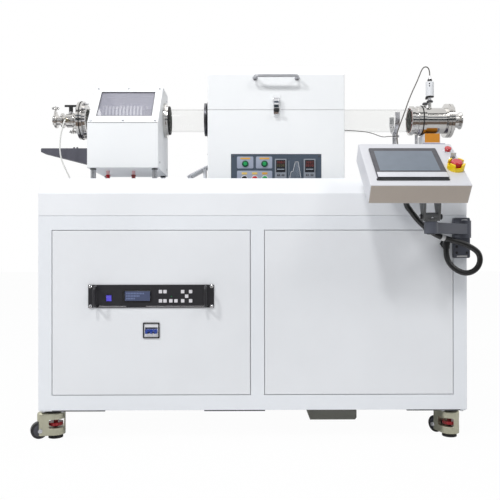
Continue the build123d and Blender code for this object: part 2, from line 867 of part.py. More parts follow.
export_step(draw_latch.part, "parts/draw_latch.step")

with BuildPart() as lid_handle:
    grip_end = lid_handle_length / 2 - lid_handle_bar / 2
    route = Plane(
        origin=(furnace_x, lid_y, parting_z + lid_handle_rise), x_dir=(1, 0, 0), z_dir=(0, 0, -1)
    )
    with BuildLine(route) as bow:
        FilletPolyline(
            (-grip_end, 0),
            (-grip_end, lid_handle_reach),
            (grip_end, lid_handle_reach),
            (grip_end, 0),
            radius=14,
        )
    with BuildSketch(Plane(origin=bow.line @ 0, x_dir=(1, 0, 0), z_dir=bow.line % 0)):
        RectangleRounded(lid_handle_bar, lid_handle_bar + 2, 3)
    sweep(path=bow.line)
    with BuildSketch(facing(furnace_front)):
        with Locations((furnace_x, parting_z + lid_handle_rise)):
            with GridLocations(2 * grip_end, 1, 2, 1):
                Circle(9)
    extrude(amount=5)
lid_handle.part.label = "lid_handle"
export_step(lid_handle.part, "parts/lid_handle.step")

# ---------------------------------------------------------------- control panel of the furnace
controller_width = 48
controller_height = 96
controller_rise = 7.5
controller_offsets = [18, 136.5]
lamp_offsets = [-127, -48]
lamp_rise = 35.5
buttons = {"black": -130.5, "red": -88, "green": -47}
button_drop = 26
bezel_reach = 7

with BuildPart() as control_panel:
    with BuildSketch(facing(furnace_front + 1)):
        with Locations((furnace_x, panel_z)):
            Rectangle(panel_width - 1, panel_height - 1)
    extrude(amount=-(sheet - 1))
    with BuildSketch(facing(furnace_front + sheet)):
        with Locations((furnace_x, panel_z)):
            Rectangle(panel_width + 16, panel_height + 16)
    extrude(amount=-2)
    with BuildSketch(facing(furnace_front)):
        for offset_x in controller_offsets:
            with Locations((furnace_x + offset_x, panel_z + controller_rise)):
                Rectangle(controller_width - 3, controller_height - 4)
        for offset_x in lamp_offsets:
            with Locations((furnace_x + offset_x, panel_z + lamp_rise)):
                Circle(lamp_radius)
        for offset_x in buttons.values():
            with Locations((furnace_x + offset_x, panel_z - button_drop)):
                Circle(button_radius)
    extrude(amount=-20, mode=Mode.SUBTRACT)
control_panel.part.label = "control_panel"
export_step(control_panel.part, "parts/control_panel.step")

with BuildPart() as panel_instruments:
    with BuildSketch(facing(furnace_front + 1)):
        for offset_x in controller_offsets:
            with Locations((furnace_x + offset_x, panel_z + controller_rise)):
                RectangleRounded(controller_width, controller_height, 2)
    extrude(amount=bezel_reach)
    with BuildSketch(facing(furnace_front + 1)):
        for offset_x in controller_offsets:
            with Locations((furnace_x + offset_x, panel_z + controller_rise)):
                Rectangle(controller_width - 4, controller_height - 5)
    extrude(amount=-70)
    with BuildSketch(facing(furnace_front + 1)):
        for offset_x in lamp_offsets:
            with Locations((furnace_x + offset_x, panel_z + lamp_rise)):
                Circle(lamp_radius + 3)
    extrude(amount=3)
    with BuildSketch(facing(furnace_front - 2)):
        for offset_x in lamp_offsets:
            with Locations((furnace_x + offset_x, panel_z + lamp_rise)):
                Circle(lamp_radius)
    extrude(amount=5, taper=25)
    with BuildSketch(facing(furnace_front + 1)):
        for offset_x in lamp_offsets:
            with Locations((furnace_x + offset_x, panel_z + lamp_rise)):
                Circle(lamp_radius - 0.5)
    extrude(amount=-30)
panel_instruments.part.label = "panel_instruments"
export_step(panel_instruments.part, "parts/panel_instruments.step")

for colour, offset_x in buttons.items():
    with BuildPart() as push_button:
        with BuildSketch(facing(furnace_front + 14)):
            with Locations((furnace_x + offset_x, panel_z - button_drop)):
                Circle(button_radius - 0.4)
        extrude(amount=20)
        fillet(push_button.faces().sort_by(Axis.Y)[0].edges(), radius=2)
        with BuildSketch(facing(furnace_front + 14)):
            with Locations((furnace_x + offset_x, panel_z - button_drop)):
                Circle(button_radius + 3)
        extrude(amount=3)
    button_label = f"push_button_{colour}"
    push_button.part.label = button_label
    export_step(push_button.part, f"parts/{button_label}.step")

# ================================================================ tube, coil box and fittings
with BuildPart() as quartz_tube:
    with BuildSketch(on_tube(tube_left)):
        Circle(tube_radius)
        Circle(tube_radius - tube_wall, mode=Mode.SUBTRACT)
    extrude(amount=tube_right - tube_left)
quartz_tube.part.label = "quartz_tube"
export_step(quartz_tube.part, "parts/quartz_tube.step")

with BuildPart() as heat_shields:
    for shield_x in (furnace_left - 1 - shield_thickness, furnace_right + 1):
        with BuildSketch(on_tube(shield_x)):
            Circle(shield_radius)
            Circle(tube_radius + sliding_gap, mode=Mode.SUBTRACT)
        extrude(amount=shield_thickness)
heat_shields.part.label = "heat_shields"
export_step(heat_shields.part, "parts/heat_shields.step")

slope_angle = degrees(atan2(box_height - box_front_height, box_slope_depth))
slope_length = hypot(box_height - box_front_height, box_slope_depth)
window_rise = 127  # middle of the window, up the slope
box_y = front_y + box_front


def box_profile(inset):
    """Side outline of the coil box, with the sloping front of its hood, drawn in by inset."""
    Polygon(
        (box_y, box_z),
        (box_y, box_z + box_front_height),
        (box_y + box_slope_depth, box_z + box_height),
        (box_y + box_depth, box_z + box_height),
        (box_y + box_depth, box_z),
        align=None,
    )
    if inset:
        offset(amount=-inset, kind=Kind.INTERSECTION, mode=Mode.REPLACE)


def on_slope(rise, depth):
    """A plane parallel to the sloping face, rise up the slope from its lower edge, depth below it."""
    lean = radians(slope_angle)
    up = Vector(0, cos(lean), sin(lean))
    out = Vector(0, -sin(lean), cos(lean))
    foot = Vector(box_x, box_y, box_z + box_front_height)
    return Plane(origin=foot + up * rise - out * depth, x_dir=(1, 0, 0), z_dir=out)


with BuildPart() as coil_box:
    with BuildSketch(across(box_left)):
        box_profile(0)
    extrude(amount=box_width)
    with BuildSketch(across(box_left + sheet)):
        box_profile(sheet)
    extrude(amount=box_width - 2 * sheet, mode=Mode.SUBTRACT)
    with BuildSketch(on_slope(window_rise, 0)):
        RectangleRounded(window_width, window_height, 2)
    extrude(amount=-sheet, mode=Mode.SUBTRACT)
    with BuildSketch(on_tube(box_left)):
        Circle(tube_radius + 3)
    extrude(amount=box_width, mode=Mode.SUBTRACT)
    with BuildSketch(level(deck_z)):
        with Locations((box_x, box_y + box_depth / 2)):
            with GridLocations(box_width - 36, box_depth - 60, 2, 2):
                Circle(box_leg_radius)
    extrude(amount=box_leg_height)
    with BuildSketch(level(deck_z)):
        with Locations((box_x, box_y + box_depth / 2)):
            with GridLocations(box_width - 36, box_depth - 60, 2, 2):
                Circle(box_leg_radius + 5)
    extrude(amount=5)
coil_box.part.label = "coil_box"
export_step(coil_box.part, "parts/coil_box.step")

with BuildPart() as coil_window:
    with BuildSketch(on_slope(window_rise, sheet)):
        Rectangle(window_width + 22, window_height + 22)
    extrude(amount=-window_thickness)
coil_window.part.label = "coil_window"
export_step(coil_window.part, "parts/coil_window.step")

# silvered coil of square tube round the quartz, with a straight lead down to each floor terminal
coil_length = coil_pitch * coil_turns
coil_start_x = box_left + 26
coil_side = 7.5
lead_drop = tube_z - box_z - sheet

with BuildPart() as rf_coil:
    with BuildLine() as winding:
        Helix(
            pitch=coil_pitch,
            height=coil_length,
            radius=coil_radius,
            center=(coil_start_x, tube_y, tube_z),
            direction=(1, 0, 0),
        )
    with BuildSketch(Plane(origin=winding.line @ 0, z_dir=winding.line % 0)):
        Rectangle(coil_side, coil_side)
    sweep(path=winding.line, is_frenet=True)
    for lead_x in (coil_start_x, coil_start_x + coil_length):
        with BuildSketch(level(box_z + sheet)):
            with Locations((lead_x, tube_y + coil_radius)):
                Rectangle(coil_side, coil_side)
        extrude(amount=lead_drop + coil_side / 2)
        with BuildSketch(level(box_z + sheet)):
            with Locations((lead_x, tube_y + coil_radius)):
                Circle(14)
        extrude(amount=18)
rf_coil.part.label = "rf_coil"
export_step(rf_coil.part, "parts/rf_coil.step")

# ---------------------------------------------------------------- sealing flanges on the tube
left_face_x = -760.5
left_seal_x = -750
left_flange_end = -724.5
ring_start_x = 700
ring_end_x = 748
collar_width = 20
collar_radius = 76
collar_fit = 0.3  # round the tube, where a seal takes up the rest

with BuildPart() as tube_flanges:
    # gas end: blind plate with the pipe's bore, then the compression ring over the tube
    with BuildSketch(on_tube(left_face_x)):
        Circle(flange_radius)
        Circle(pipe_radius - 2, mode=Mode.SUBTRACT)
    extrude(amount=left_seal_x - left_face_x)
    with BuildSketch(on_tube(left_seal_x + seal_thickness)):
        Circle(flange_radius)
        Circle(tube_radius + collar_fit, mode=Mode.SUBTRACT)
    extrude(amount=left_flange_end - left_seal_x - seal_thickness - 12)
    with BuildSketch(on_tube(left_flange_end - 12)):
        Circle(flange_radius - 14)
        Circle(tube_radius + collar_fit, mode=Mode.SUBTRACT)
    extrude(amount=12)
    # collar on the coil box's right-hand wall
    with BuildSketch(on_tube(box_right)):
        Circle(collar_radius)
        Circle(tube_radius + collar_fit, mode=Mode.SUBTRACT)
    extrude(amount=collar_width - 8)
    with BuildSketch(on_tube(box_right + collar_width - 8)):
        Circle(collar_radius - 12)
        Circle(tube_radius + collar_fit, mode=Mode.SUBTRACT)
    extrude(amount=8)
    # pump end: a deep compression ring with a grooved rim
    with BuildSketch(on_tube(ring_start_x)):
        Circle(ring_radius)
        Circle(tube_radius + collar_fit, mode=Mode.SUBTRACT)
    extrude(amount=ring_end_x - ring_start_x)
    with BuildSketch(on_tube(ring_start_x + 14)):
        Circle(ring_radius)
        Circle(ring_radius - 5, mode=Mode.SUBTRACT)
    extrude(amount=16, mode=Mode.SUBTRACT)
tube_flanges.part.label = "tube_flanges"
export_step(tube_flanges.part, "parts/tube_flanges.step")

with BuildPart() as flange_seals:
    with BuildSketch(on_tube(left_seal_x)):
        Circle(flange_radius + 1.5)
        Circle(tube_radius + collar_fit, mode=Mode.SUBTRACT)
    extrude(amount=seal_thickness)
    with BuildSketch(on_tube(ring_end_x)):
        Circle(ring_radius + 2.5)
        Circle(tube_radius + collar_fit, mode=Mode.SUBTRACT)
    extrude(amount=seal_thickness)
    with BuildSketch(on_tube(box_right + collar_width)):
        Circle(collar_radius - 14)
        Circle(tube_radius + collar_fit, mode=Mode.SUBTRACT)
    extrude(amount=6)
flange_seals.part.label = "flange_seals"
export_step(flange_seals.part, "parts/flange_seals.step")

# ---------------------------------------------------------------- gas end: pipe, valve, clamps, hose barb
kf_clamp_radius = 33
kf_clamp_width = 13
valve_half = 19
gas_end_x = -878
stem_bore = 4 + running_fit
barb_face = tube_depth - kf_clamp_radius - 6

with BuildPart() as gas_valve:
    with BuildSketch(on_tube(left_face_x)):
        Circle(pipe_radius + 3)
        Circle(pipe_radius - 2, mode=Mode.SUBTRACT)
    extrude(amount=-(left_face_x - valve_x - valve_half))
    with BuildSketch(on_tube(valve_x - valve_half)):
        Circle(kf_clamp_radius - 3)
    extrude(amount=2 * valve_half)
    fillet(gas_valve.edges().filter_by(GeomType.CIRCLE).sort_by(SortBy.RADIUS)[-2:], radius=3)
    # neck of the valve's stem
    with BuildSketch(level(tube_z)):
        with Locations((valve_x, tube_y)):
            Circle(8)
    extrude(amount=kf_clamp_radius + 6)
    with BuildSketch(level(tube_z + kf_clamp_radius - 8)):
        with Locations((valve_x, tube_y)):
            Circle(stem_bore)
    extrude(amount=30, mode=Mode.SUBTRACT)
    # pipe and end clamp with its screw
    with BuildSketch(on_tube(valve_x - valve_half)):
        Circle(pipe_radius)
    extrude(amount=-(valve_x - valve_half - gas_end_x))
    for clamp_x in (valve_x + valve_half - 4, valve_x - valve_half - 22, gas_end_x + 6):
        with BuildSketch(on_tube(clamp_x)):
            Circle(kf_clamp_radius - 5)
        extrude(amount=kf_clamp_width)
    for clamp_x, side in ((valve_x + valve_half - 4, -1), (gas_end_x + 6, 1)):
        # lugs and wing nut of each clamp
        with BuildSketch(across(clamp_x + 2)):
            with Locations((tube_y - 8, tube_z + side * (kf_clamp_radius - 2))):
                Rectangle(22, 14)
        extrude(amount=kf_clamp_width - 4)
    # hose barb on the front of the valve
    with BuildSketch(facing(tube_depth)):
        with Locations((valve_x - 7, tube_z - 6)):
            Circle(6)
    extrude(amount=tube_depth - barb_face)
gas_valve.part.label = "gas_valve"
export_step(gas_valve.part, "parts/gas_valve.step")

handle_z = tube_z + kf_clamp_radius + 6 + turning_gap
with BuildPart() as valve_handle:
    with BuildSketch(level(handle_z)):
        with Locations((valve_x, tube_y)):
            Circle(9)
    extrude(amount=24)
    with BuildSketch(level(handle_z + 22)):
        with Locations((valve_x, tube_y)):
            SlotOverall(57, 11)
    extrude(amount=8)
    fillet(valve_handle.faces().sort_by(Axis.Z)[-1].edges(), radius=2)
    with BuildSketch(level(handle_z)):
        with Locations((valve_x, tube_y)):
            Circle(4)
    extrude(amount=-12)
valve_handle.part.label = "valve_handle"
export_step(valve_handle.part, "parts/valve_handle.step")

# tapered bracket that reaches out under the gas end from the coil box's wall
bracket_depth = 380
bracket_thickness = 60
bracket_top = 1183
bracket_root_height = 82
bracket_tip_height = 17

with BuildPart() as tapered_bracket:
    with BuildSketch(facing(bracket_depth - bracket_thickness / 2)):
        Polygon(
            (box_left, bracket_top),
            (-end_reach, bracket_top),
            (-end_reach, bracket_top - bracket_tip_height),
            (-end_reach + 10, bracket_top - bracket_tip_height - 3),
            (box_left, bracket_top - bracket_root_height),
            align=None,
        )
    extrude(amount=-bracket_thickness)
    fillet(tapered_bracket.edges().filter_by(Axis.Y).sort_by(Axis.X)[:2], radius=5)
    # cable saddle on top, and the root flange
    with BuildSketch(level(bracket_top)):
        with Locations((-780, front_y + bracket_depth - 12)):
            with GridLocations(14, 1, 2, 1):
                Circle(4)
    extrude(amount=7)
tapered_bracket.part.label = "tapered_bracket"
export_step(tapered_bracket.part, "parts/tapered_bracket.step")

# ---------------------------------------------------------------- pump end: chamber, ports and gauge
chamber_start_x = ring_end_x + seal_thickness
chamber_end_x = 857
end_plate_x = 884
port_end_x = end_reach
port_neck_radius = 30
small_port_x = 771
gauge_port_x = 792
small_port_top = 1389
gauge_port_top = 1400

with BuildPart() as vacuum_chamber:
    with BuildSketch(tube_section):
        Polygon(
            (chamber_start_x, tube_radius - tube_wall),
            (chamber_start_x, ring_radius),
            (chamber_start_x + 12, ring_radius),
            (chamber_start_x + 12, chamber_tube_radius),
            (chamber_end_x, chamber_tube_radius),
            (chamber_end_x, end_disc_radius),
            (chamber_end_x + 11, end_disc_radius),
            (chamber_end_x + 11, end_disc_radius - 4),
            (chamber_end_x + 14, end_disc_radius - 4),
            (chamber_end_x + 14, end_disc_radius),
            (end_plate_x, end_disc_radius),
            (end_plate_x, port_neck_radius),
            (port_end_x - 14, port_neck_radius),
            (port_end_x - 4, port_lip_radius),
            (port_end_x, port_lip_radius),
            (port_end_x, port_bore),
            (end_plate_x - 10, port_bore),
            (end_plate_x - 10, tube_radius - tube_wall),
            align=None,
        )
    revolve(axis=tube_axis)
    # two ports on top; the second carries the gauge
    for port_x, port_top, port_radius in (
        (small_port_x, small_port_top, 8),
        (gauge_port_x, gauge_port_top, 9),
    ):
        with BuildSketch(level(tube_z + chamber_tube_radius - 3)):
            with Locations((port_x, tube_y)):
                Circle(port_radius - 2)
        extrude(amount=port_top - tube_z - chamber_tube_radius + 3)
        with BuildSketch(level(port_top - 12)):
            with Locations((port_x, tube_y)):
                RegularPolygon(port_radius, 6, major_radius=False)
        extrude(amount=12)
vacuum_chamber.part.label = "vacuum_chamber"
export_step(vacuum_chamber.part, "parts/vacuum_chamber.step")

gauge_low_z = 1414
gauge_high_z = 1481
gauge_top_z = 1507
cable_radius = 2.5

with BuildPart() as pressure_gauge:
    with BuildSketch(level(gauge_port_top)):
        with Locations((gauge_port_x, tube_y)):
            Circle(7)
    extrude(amount=gauge_low_z - gauge_port_top)
    with BuildSketch(level(gauge_low_z)):
        with Locations((gauge_port_x, tube_y)):
            Circle(gauge_radius)
    extrude(amount=gauge_high_z - gauge_low_z)
    chamfer(pressure_gauge.edges().group_by(Axis.Z)[-1], length=2)
    with BuildSketch(level(gauge_high_z)):
        with Locations((gauge_port_x, tube_y)):
            Circle(9)
    extrude(amount=gauge_top_z - gauge_high_z, taper=10)
pressure_gauge.part.label = "pressure_gauge"
export_step(pressure_gauge.part, "parts/pressure_gauge.step")

# two stands on the deck: a forked one for the tube, and one under the ring and the chamber
stand_post_radius = 9.5
fork_wall = 9
fork_height = 26
ring_post_x = 731
ring_post_radius = 6.5
saddle_x = 789
saddle_width = 66
saddle_z = 1199
saddle_depth = 92
saddle_top = 1243
clip_z = 1228
clip_reach = 62
clip_size = 9

with BuildPart() as tube_stand:
    with BuildSketch(level(deck_z)):
        with Locations((stand_x, tube_y)):
            RectangleRounded(70, 90, 6)
    extrude(amount=6)
    with BuildSketch(level(deck_z)):
        with Locations((stand_x, tube_y)):
            Circle(stand_post_radius)
    extrude(amount=tube_z - tube_radius - fork_wall + 2 - deck_z)
    with BuildSketch(on_tube(stand_x - stand_post_radius)):
        with BuildLine():
            rim = tube_radius + fork_wall
            bore = tube_radius + sliding_gap
            Polyline((bore, 0), (bore, fork_height), (rim, fork_height), (rim, 0))
            Polyline((-bore, 0), (-bore, fork_height), (-rim, fork_height), (-rim, 0))
            CenterArc((0, 0), bore, 180, 180)
            CenterArc((0, 0), rim, 180, 180)
        make_face()
    extrude(amount=2 * stand_post_radius)
    # clip on a rod, which holds the thermocouple's lead
    with BuildSketch(facing(tube_depth)):
        with Locations((stand_x, clip_z)):
            Circle(3)
    extrude(amount=clip_reach)
    with BuildSketch(facing(tube_depth - clip_reach + clip_size / 2)):
        with Locations((stand_x, clip_z)):
            Rectangle(clip_size, clip_size)
    extrude(amount=clip_size)
    # pump end: a foot that carries a post under the ring, and another under the chamber's saddle
    with BuildSketch(level(deck_z)):
        with Locations(((ring_post_x + saddle_x) / 2, tube_y)):
            RectangleRounded(100, 80, 5)
    extrude(amount=6)
    with BuildSketch(level(deck_z)):
        with Locations((ring_post_x, tube_y)):
            Circle(ring_post_radius)
    extrude(amount=tube_z - ring_radius - turning_gap - deck_z)
    with BuildSketch(level(deck_z)):
        with Locations((saddle_x, tube_y)):
            Circle(stand_post_radius)
    extrude(amount=saddle_z - deck_z)
    with BuildSketch(on_tube(saddle_x - saddle_width / 2)):
        with Locations((0, (saddle_z + saddle_top) / 2 - tube_z)):
            Rectangle(saddle_depth, saddle_top - saddle_z)
        Circle(chamber_tube_radius + turning_gap, mode=Mode.SUBTRACT)
    extrude(amount=saddle_width)
tube_stand.part.label = "tube_stand"
export_step(tube_stand.part, "parts/tube_stand.step")

# ================================================================ control console on its arm
tilt = radians(console_tilt)
console_up = Vector(0, cos(tilt), sin(tilt))
console_out = Vector(0, -sin(tilt), cos(tilt))
console_corner = Vector(console_x - console_width / 2, front_y - console_reach, console_front_z)
wall_plate_width = 62
wall_plate_low = 702
wall_plate_high = 856
wall_plate_thickness = 20
wall_pivot_y = front_y - wall_pivot_reach
head_y = front_y - head_reach
arm_low = arm_z - arm_thickness / 2
arm_high = arm_z + arm_thickness / 2
lug_thickness = 11


def on_console(right, up, height):
    """A plane parallel to the console's face, measured from the face's lower left corner."""
    place = console_corner + Vector(right, 0, 0) + console_up * up + console_out * height
    return Plane(origin=place, x_dir=(1, 0, 0), z_dir=console_out)


with BuildPart() as wall_bracket:
    with BuildSketch(facing(0)):
        with Locations((wall_pivot_x, (wall_plate_low + wall_plate_high) / 2)):
            RectangleRounded(wall_plate_width, wall_plate_high - wall_plate_low, 6)
    extrude(amount=wall_plate_thickness)
    for lug_z in (arm_low - turning_gap - lug_thickness, arm_high + turning_gap):
        with BuildSketch(level(lug_z)):
            with Locations((wall_pivot_x, wall_pivot_y)):
                Circle(hub_radius)
            with Locations((wall_pivot_x, front_y - wall_plate_thickness / 2)):
                Rectangle(wall_plate_width - 4, wall_plate_thickness)
            make_hull()
        extrude(amount=lug_thickness)
    with BuildSketch(level(arm_low - turning_gap)):
        with Locations((wall_pivot_x, wall_pivot_y)):
            Circle(pin_radius)
    extrude(amount=arm_thickness + 2 * turning_gap)
wall_bracket.part.label = "wall_bracket"
export_step(wall_bracket.part, "parts/wall_bracket.step")

with BuildPart() as swing_arm:
    with BuildSketch(level(arm_low)):
        with Locations((wall_pivot_x, wall_pivot_y)):
            Circle(hub_radius)
    extrude(amount=arm_thickness)
    with BuildSketch(level(arm_low)):
        with Locations((head_x, head_y)):
            Circle(hub_radius)
    extrude(amount=arm_thickness)
    # the bar between the hubs, a little thinner than they are
    with BuildSketch(level(arm_low + 2)):
        with Locations((wall_pivot_x, wall_pivot_y)):
            Circle(hub_radius - 4)
        with Locations((head_x, head_y)):
            Circle(hub_radius - 7)
        make_hull()
    extrude(amount=arm_thickness - 4)
    with BuildSketch(level(arm_low)):
        with Locations((wall_pivot_x, wall_pivot_y), (head_x, head_y)):
            Circle(pin_radius + running_fit)
    extrude(amount=arm_thickness, mode=Mode.SUBTRACT)
swing_arm.part.label = "swing_arm"
export_step(swing_arm.part, "parts/swing_arm.step")

head_width = 44
ear_thickness = 8
ear_radius = 15

with BuildPart() as arm_head:
    with BuildSketch(level(arm_high + turning_gap)):
        with Locations((head_x, head_y)):
            Circle(hub_radius - 3)
    extrude(amount=8)
    with BuildSketch(level(arm_low)):
        with Locations((head_x, head_y)):
            Circle(pin_radius)
    extrude(amount=arm_thickness + 2)
    with BuildSketch(across(head_x)):
        with Locations((head_y, tilt_z)):
            Circle(ear_radius)
        with Locations((head_y, arm_high + turning_gap + 6)):
            Rectangle(2 * ear_radius - 2, 8)
        make_hull()
    extrude(amount=head_width / 2, both=True)
    with BuildSketch(across(head_x)):
        with Locations((head_y, tilt_z)):
            Circle(tilt_pin_radius)
    extrude(amount=head_width / 2 + ear_thickness + 4, both=True)
arm_head.part.label = "arm_head"
export_step(arm_head.part, "parts/arm_head.step")

# places on the console's face: right of its left edge, up from its front edge
module_centre = (154, 146)
estop_place = (316, 112)
button_place = (319, 235)
key_place = (323, 180)
estop_stem = 9
hose_exit = (157, 100)  # on the underside
hose_gland_length = 20
shroud_height = 26

with BuildPart() as console_housing:
    with BuildSketch(on_console(console_width / 2, console_length / 2, 0)):
        Rectangle(console_width, console_length)
    extrude(amount=-console_thickness)
    fillet(console_housing.edges(), radius=4)
    with BuildSketch(on_console(console_width / 2, console_length / 2, -sheet)):
        Rectangle(console_width - 2 * sheet - 4, console_length - 2 * sheet - 4)
    extrude(amount=-(console_thickness - 2 * sheet), mode=Mode.SUBTRACT)
    # openings for the screen's module, the buttons and the key
    with BuildSketch(on_console(*module_centre, 0)):
        Rectangle(screen_module_width - 16, screen_module_length - 16)
    extrude(amount=-sheet, mode=Mode.SUBTRACT)
    for place, hole in ((estop_place, estop_stem), (button_place, 11), (key_place, 7.5)):
        with BuildSketch(on_console(*place, 0)):
            Circle(hole + running_fit + 0.3)
        extrude(amount=-sheet, mode=Mode.SUBTRACT)
    # castellated guard round the emergency stop
    with BuildSketch(on_console(*estop_place, 0)):
        Circle(shroud_radius)
        Circle(estop_stem + 0.35, mode=Mode.SUBTRACT)
    extrude(amount=4)
    with BuildSketch(on_console(*estop_place, 4)):
        Circle(shroud_radius)
        Circle(shroud_radius - 6, mode=Mode.SUBTRACT)
    extrude(amount=shroud_height - 4)
    with BuildSketch(on_console(*estop_place, shroud_height - 12)):
        Rectangle(2 * shroud_radius, 22)
        Rectangle(22, 2 * shroud_radius)
    extrude(amount=12, mode=Mode.SUBTRACT)
    # ears under the housing, which turn on the arm head's pin
    under_front = console_corner + console_up * 52 - console_out * (console_thickness - 1)
    under_back = console_corner + console_up * 190 - console_out * (console_thickness - 1)
    for side in (-1, 1):
        ear_x = head_x + side * (head_width / 2 + turning_gap + ear_thickness / 2)
        with BuildSketch(across(ear_x)):
            with Locations((head_y, tilt_z)):
                Circle(ear_radius)
            with Locations((under_front.Y, under_front.Z), (under_back.Y, under_back.Z)):
                Circle(1)
            make_hull()
            with Locations((head_y, tilt_z)):
                Circle(tilt_pin_radius + running_fit, mode=Mode.SUBTRACT)
        extrude(amount=ear_thickness / 2, both=True)
    # gland of the hose
    with BuildSketch(on_console(*hose_exit, -console_thickness)):
        Circle(hose_radius + 3)
    extrude(amount=-hose_gland_length)
console_housing.part.label = "console_housing"
export_step(console_housing.part, "parts/console_housing.step")

with BuildPart() as touch_screen:
    with BuildSketch(on_console(*module_centre, 0)):
        RectangleRounded(screen_module_width, screen_module_length, 4)
    extrude(amount=6)
    chamfer(touch_screen.faces().sort_by(Axis((0, 0, 0), tuple(console_out)))[-1].edges(), length=1.5)
    with BuildSketch(on_console(*module_centre, 0)):
        Rectangle(screen_module_width - 17, screen_module_length - 17)
    extrude(amount=-38)
touch_screen.part.label = "touch_screen"
export_step(touch_screen.part, "parts/touch_screen.step")

with BuildPart() as estop_button:
    with BuildSketch(on_console(*estop_place, 12)):
        Circle(estop_radius)
    extrude(amount=18)
    fillet(estop_button.faces().sort_by(Axis((0, 0, 0), tuple(console_out)))[-1].edges(), radius=6)
    with BuildSketch(on_console(*estop_place, 13)):
        Circle(estop_stem)
    extrude(amount=-40)
estop_button.part.label = "estop_button"
export_step(estop_button.part, "parts/estop_button.step")

with BuildPart() as console_button:
    with BuildSketch(on_console(*button_place, 8)):
        Circle(12.4)
    extrude(amount=7)
    fillet(console_button.faces().sort_by(Axis((0, 0, 0), tuple(console_out)))[-1].edges(), radius=2.5)
    with BuildSketch(on_console(*button_place, 9)):
        Circle(11)
    extrude(amount=-30)
console_button.part.label = "console_button"
export_step(console_button.part, "parts/console_button.step")

with BuildPart() as key_switch:
    with BuildSketch(on_console(*key_place, 0.3)):
        Circle(10.5)
    extrude(amount=6)
    with BuildSketch(on_console(*key_place, 1)):
        Circle(7.5)
    extrude(amount=-28)
    with BuildSketch(on_console(*key_place, 6)):
        SlotOverall(19, 5)
    extrude(amount=17)
key_switch.part.label = "key_switch"
export_step(key_switch.part, "parts/key_switch.step")

# ================================================================ free cords
# Each route is a list of (x, depth behind the cabinet's front, z), chosen by hand. The first and last
# points lie on the faces that the cord meets.
lead_radius = 1.5
exit_place = on_console(*hose_exit, -console_thickness - hose_gland_length).origin
hose_exit_run = exit_place - console_out * 44
hose_route = [
    (exit_place.X, exit_place.Y - front_y, exit_place.Z),
    (hose_exit_run.X, hose_exit_run.Y - front_y, hose_exit_run.Z),
    (574, -135, 873),
    (601, -125, 843),
    (636, -114, 812),
    (679, -103, 786),
    (724, -93, 772),
    (765, -85, 763),
    (803, -79, 749),
    (836.5, -74, 730),
    (849, -71, 712),
    (852, -68, 690),
    (845, -65, 669),
    (830, -62, 653),
    (809, -58, 645),
    (787, -53, 647.5),
    (762, -45, 662),
    (745, -35, 684),
    (hose_gland_x, -elbow_reach, 711),
    (hose_gland_x, -elbow_reach, hose_gland_z - elbow_drop),
]
gas_route = [
    (valve_x - 7, barb_face, tube_z - 6),
    (valve_x - 7, 303, tube_z - 6),
    (-812, 291, 1278),
    (-821, 289, 1242),
    (-827, 290, 1204),
    (-828, 292, 1164),
    (-822, 294, 1124),
    (-806, 295, 1086),
    (-789, 298, 1052),
    (-779, 299, 1020),
    (gas_inlet_xy[0], gas_inlet_xy[1] - front_y, 994),
    (gas_inlet_xy[0], gas_inlet_xy[1] - front_y, deck_z + fitting_height),
]
gauge_route = [
    (gauge_port_x, tube_depth, gauge_top_z),
    (gauge_port_x, tube_depth, 1526),
    (784, 367, 1546),
    (765, 362, 1547),
    (752, 357, 1530),
    (741, 351, 1504),
    (727, 344, 1473),
    (707, 335, 1434),
    (683, 320, 1382),
    (668, 309, 1343),
    (651, 298, 1303),
    (637, 289, 1269),
    (624, 280, 1238),
    (623, 272, 1200),
    (629, 266, 1150),
    (636, 263, 1095),
    (cable_inlet_xy[0], cable_inlet_xy[1] - front_y, 1030),
    (cable_inlet_xy[0], cable_inlet_xy[1] - front_y, deck_z + fitting_height),
]
lead_route = [
    (furnace_right + lead_gland_reach, lead_gland_depth, lead_gland_z),
    (418, lead_gland_depth, lead_gland_z),
    (456, 302, 1250),
    (493, 304, 1247),
    (525, 305, 1240),
    (550, 306, 1230),
    (572, 307, 1224),
    (596, tube_depth - clip_reach, clip_z),
    (stand_x - clip_size / 2, tube_depth - clip_reach, clip_z),
]


def corner_radii(route):
    """0.45 of the shorter run at each corner, over the tangent of half the turn."""
    radii = []
    for before, corner, after in zip(route, route[1:], route[2:]):
        run_in = Vector(*corner) - Vector(*before)
        run_out = Vector(*after) - Vector(*corner)
        half_turn = radians(run_in.get_angle(run_out)) / 2
        radii.append(0.45 * min(run_in.length, run_out.length) / tan(half_turn))
    return radii


def cord(label, route, radius):
    """A round tube along straight runs joined by arcs."""
    points = [(x, front_y + depth, z) for x, depth, z in route]
    radii = corner_radii(points)
    print(label, "radii", [round(r) for r in radii], "smallest", round(min(radii) / radius / 2, 1), "diameters")
    with BuildPart() as tube:
        with BuildLine() as path:
            FilletPolyline(*points, radius=radii)
        with BuildSketch(Plane(origin=path.line @ 0, z_dir=path.line % 0)):
            Circle(radius)
        sweep(path=path.line)
    length = sum(edge.length for edge in path.edges())
    share = tube.part.volume / (pi * radius**2 * length)
    print(label, "length", round(length), "volume over section times length", round(share, 4))
    return tube


control_hose = cord("control_hose", hose_route, hose_radius)
control_hose.part.label = "control_hose"
export_step(control_hose.part, "parts/control_hose.step")

gas_hose = cord("gas_hose", gas_route, 3)
gas_hose.part.label = "gas_hose"
export_step(gas_hose.part, "parts/gas_hose.step")

gauge_cable = cord("gauge_cable", gauge_route, cable_radius)
gauge_cable.part.label = "gauge_cable"
export_step(gauge_cable.part, "parts/gauge_cable.step")

thermocouple_lead = cord("thermocouple_lead", lead_route, lead_radius)
thermocouple_lead.part.label = "thermocouple_lead"
export_step(thermocouple_lead.part, "parts/thermocouple_lead.step")
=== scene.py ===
import math

import bmesh
import bpy
from mathutils import Matrix, Vector


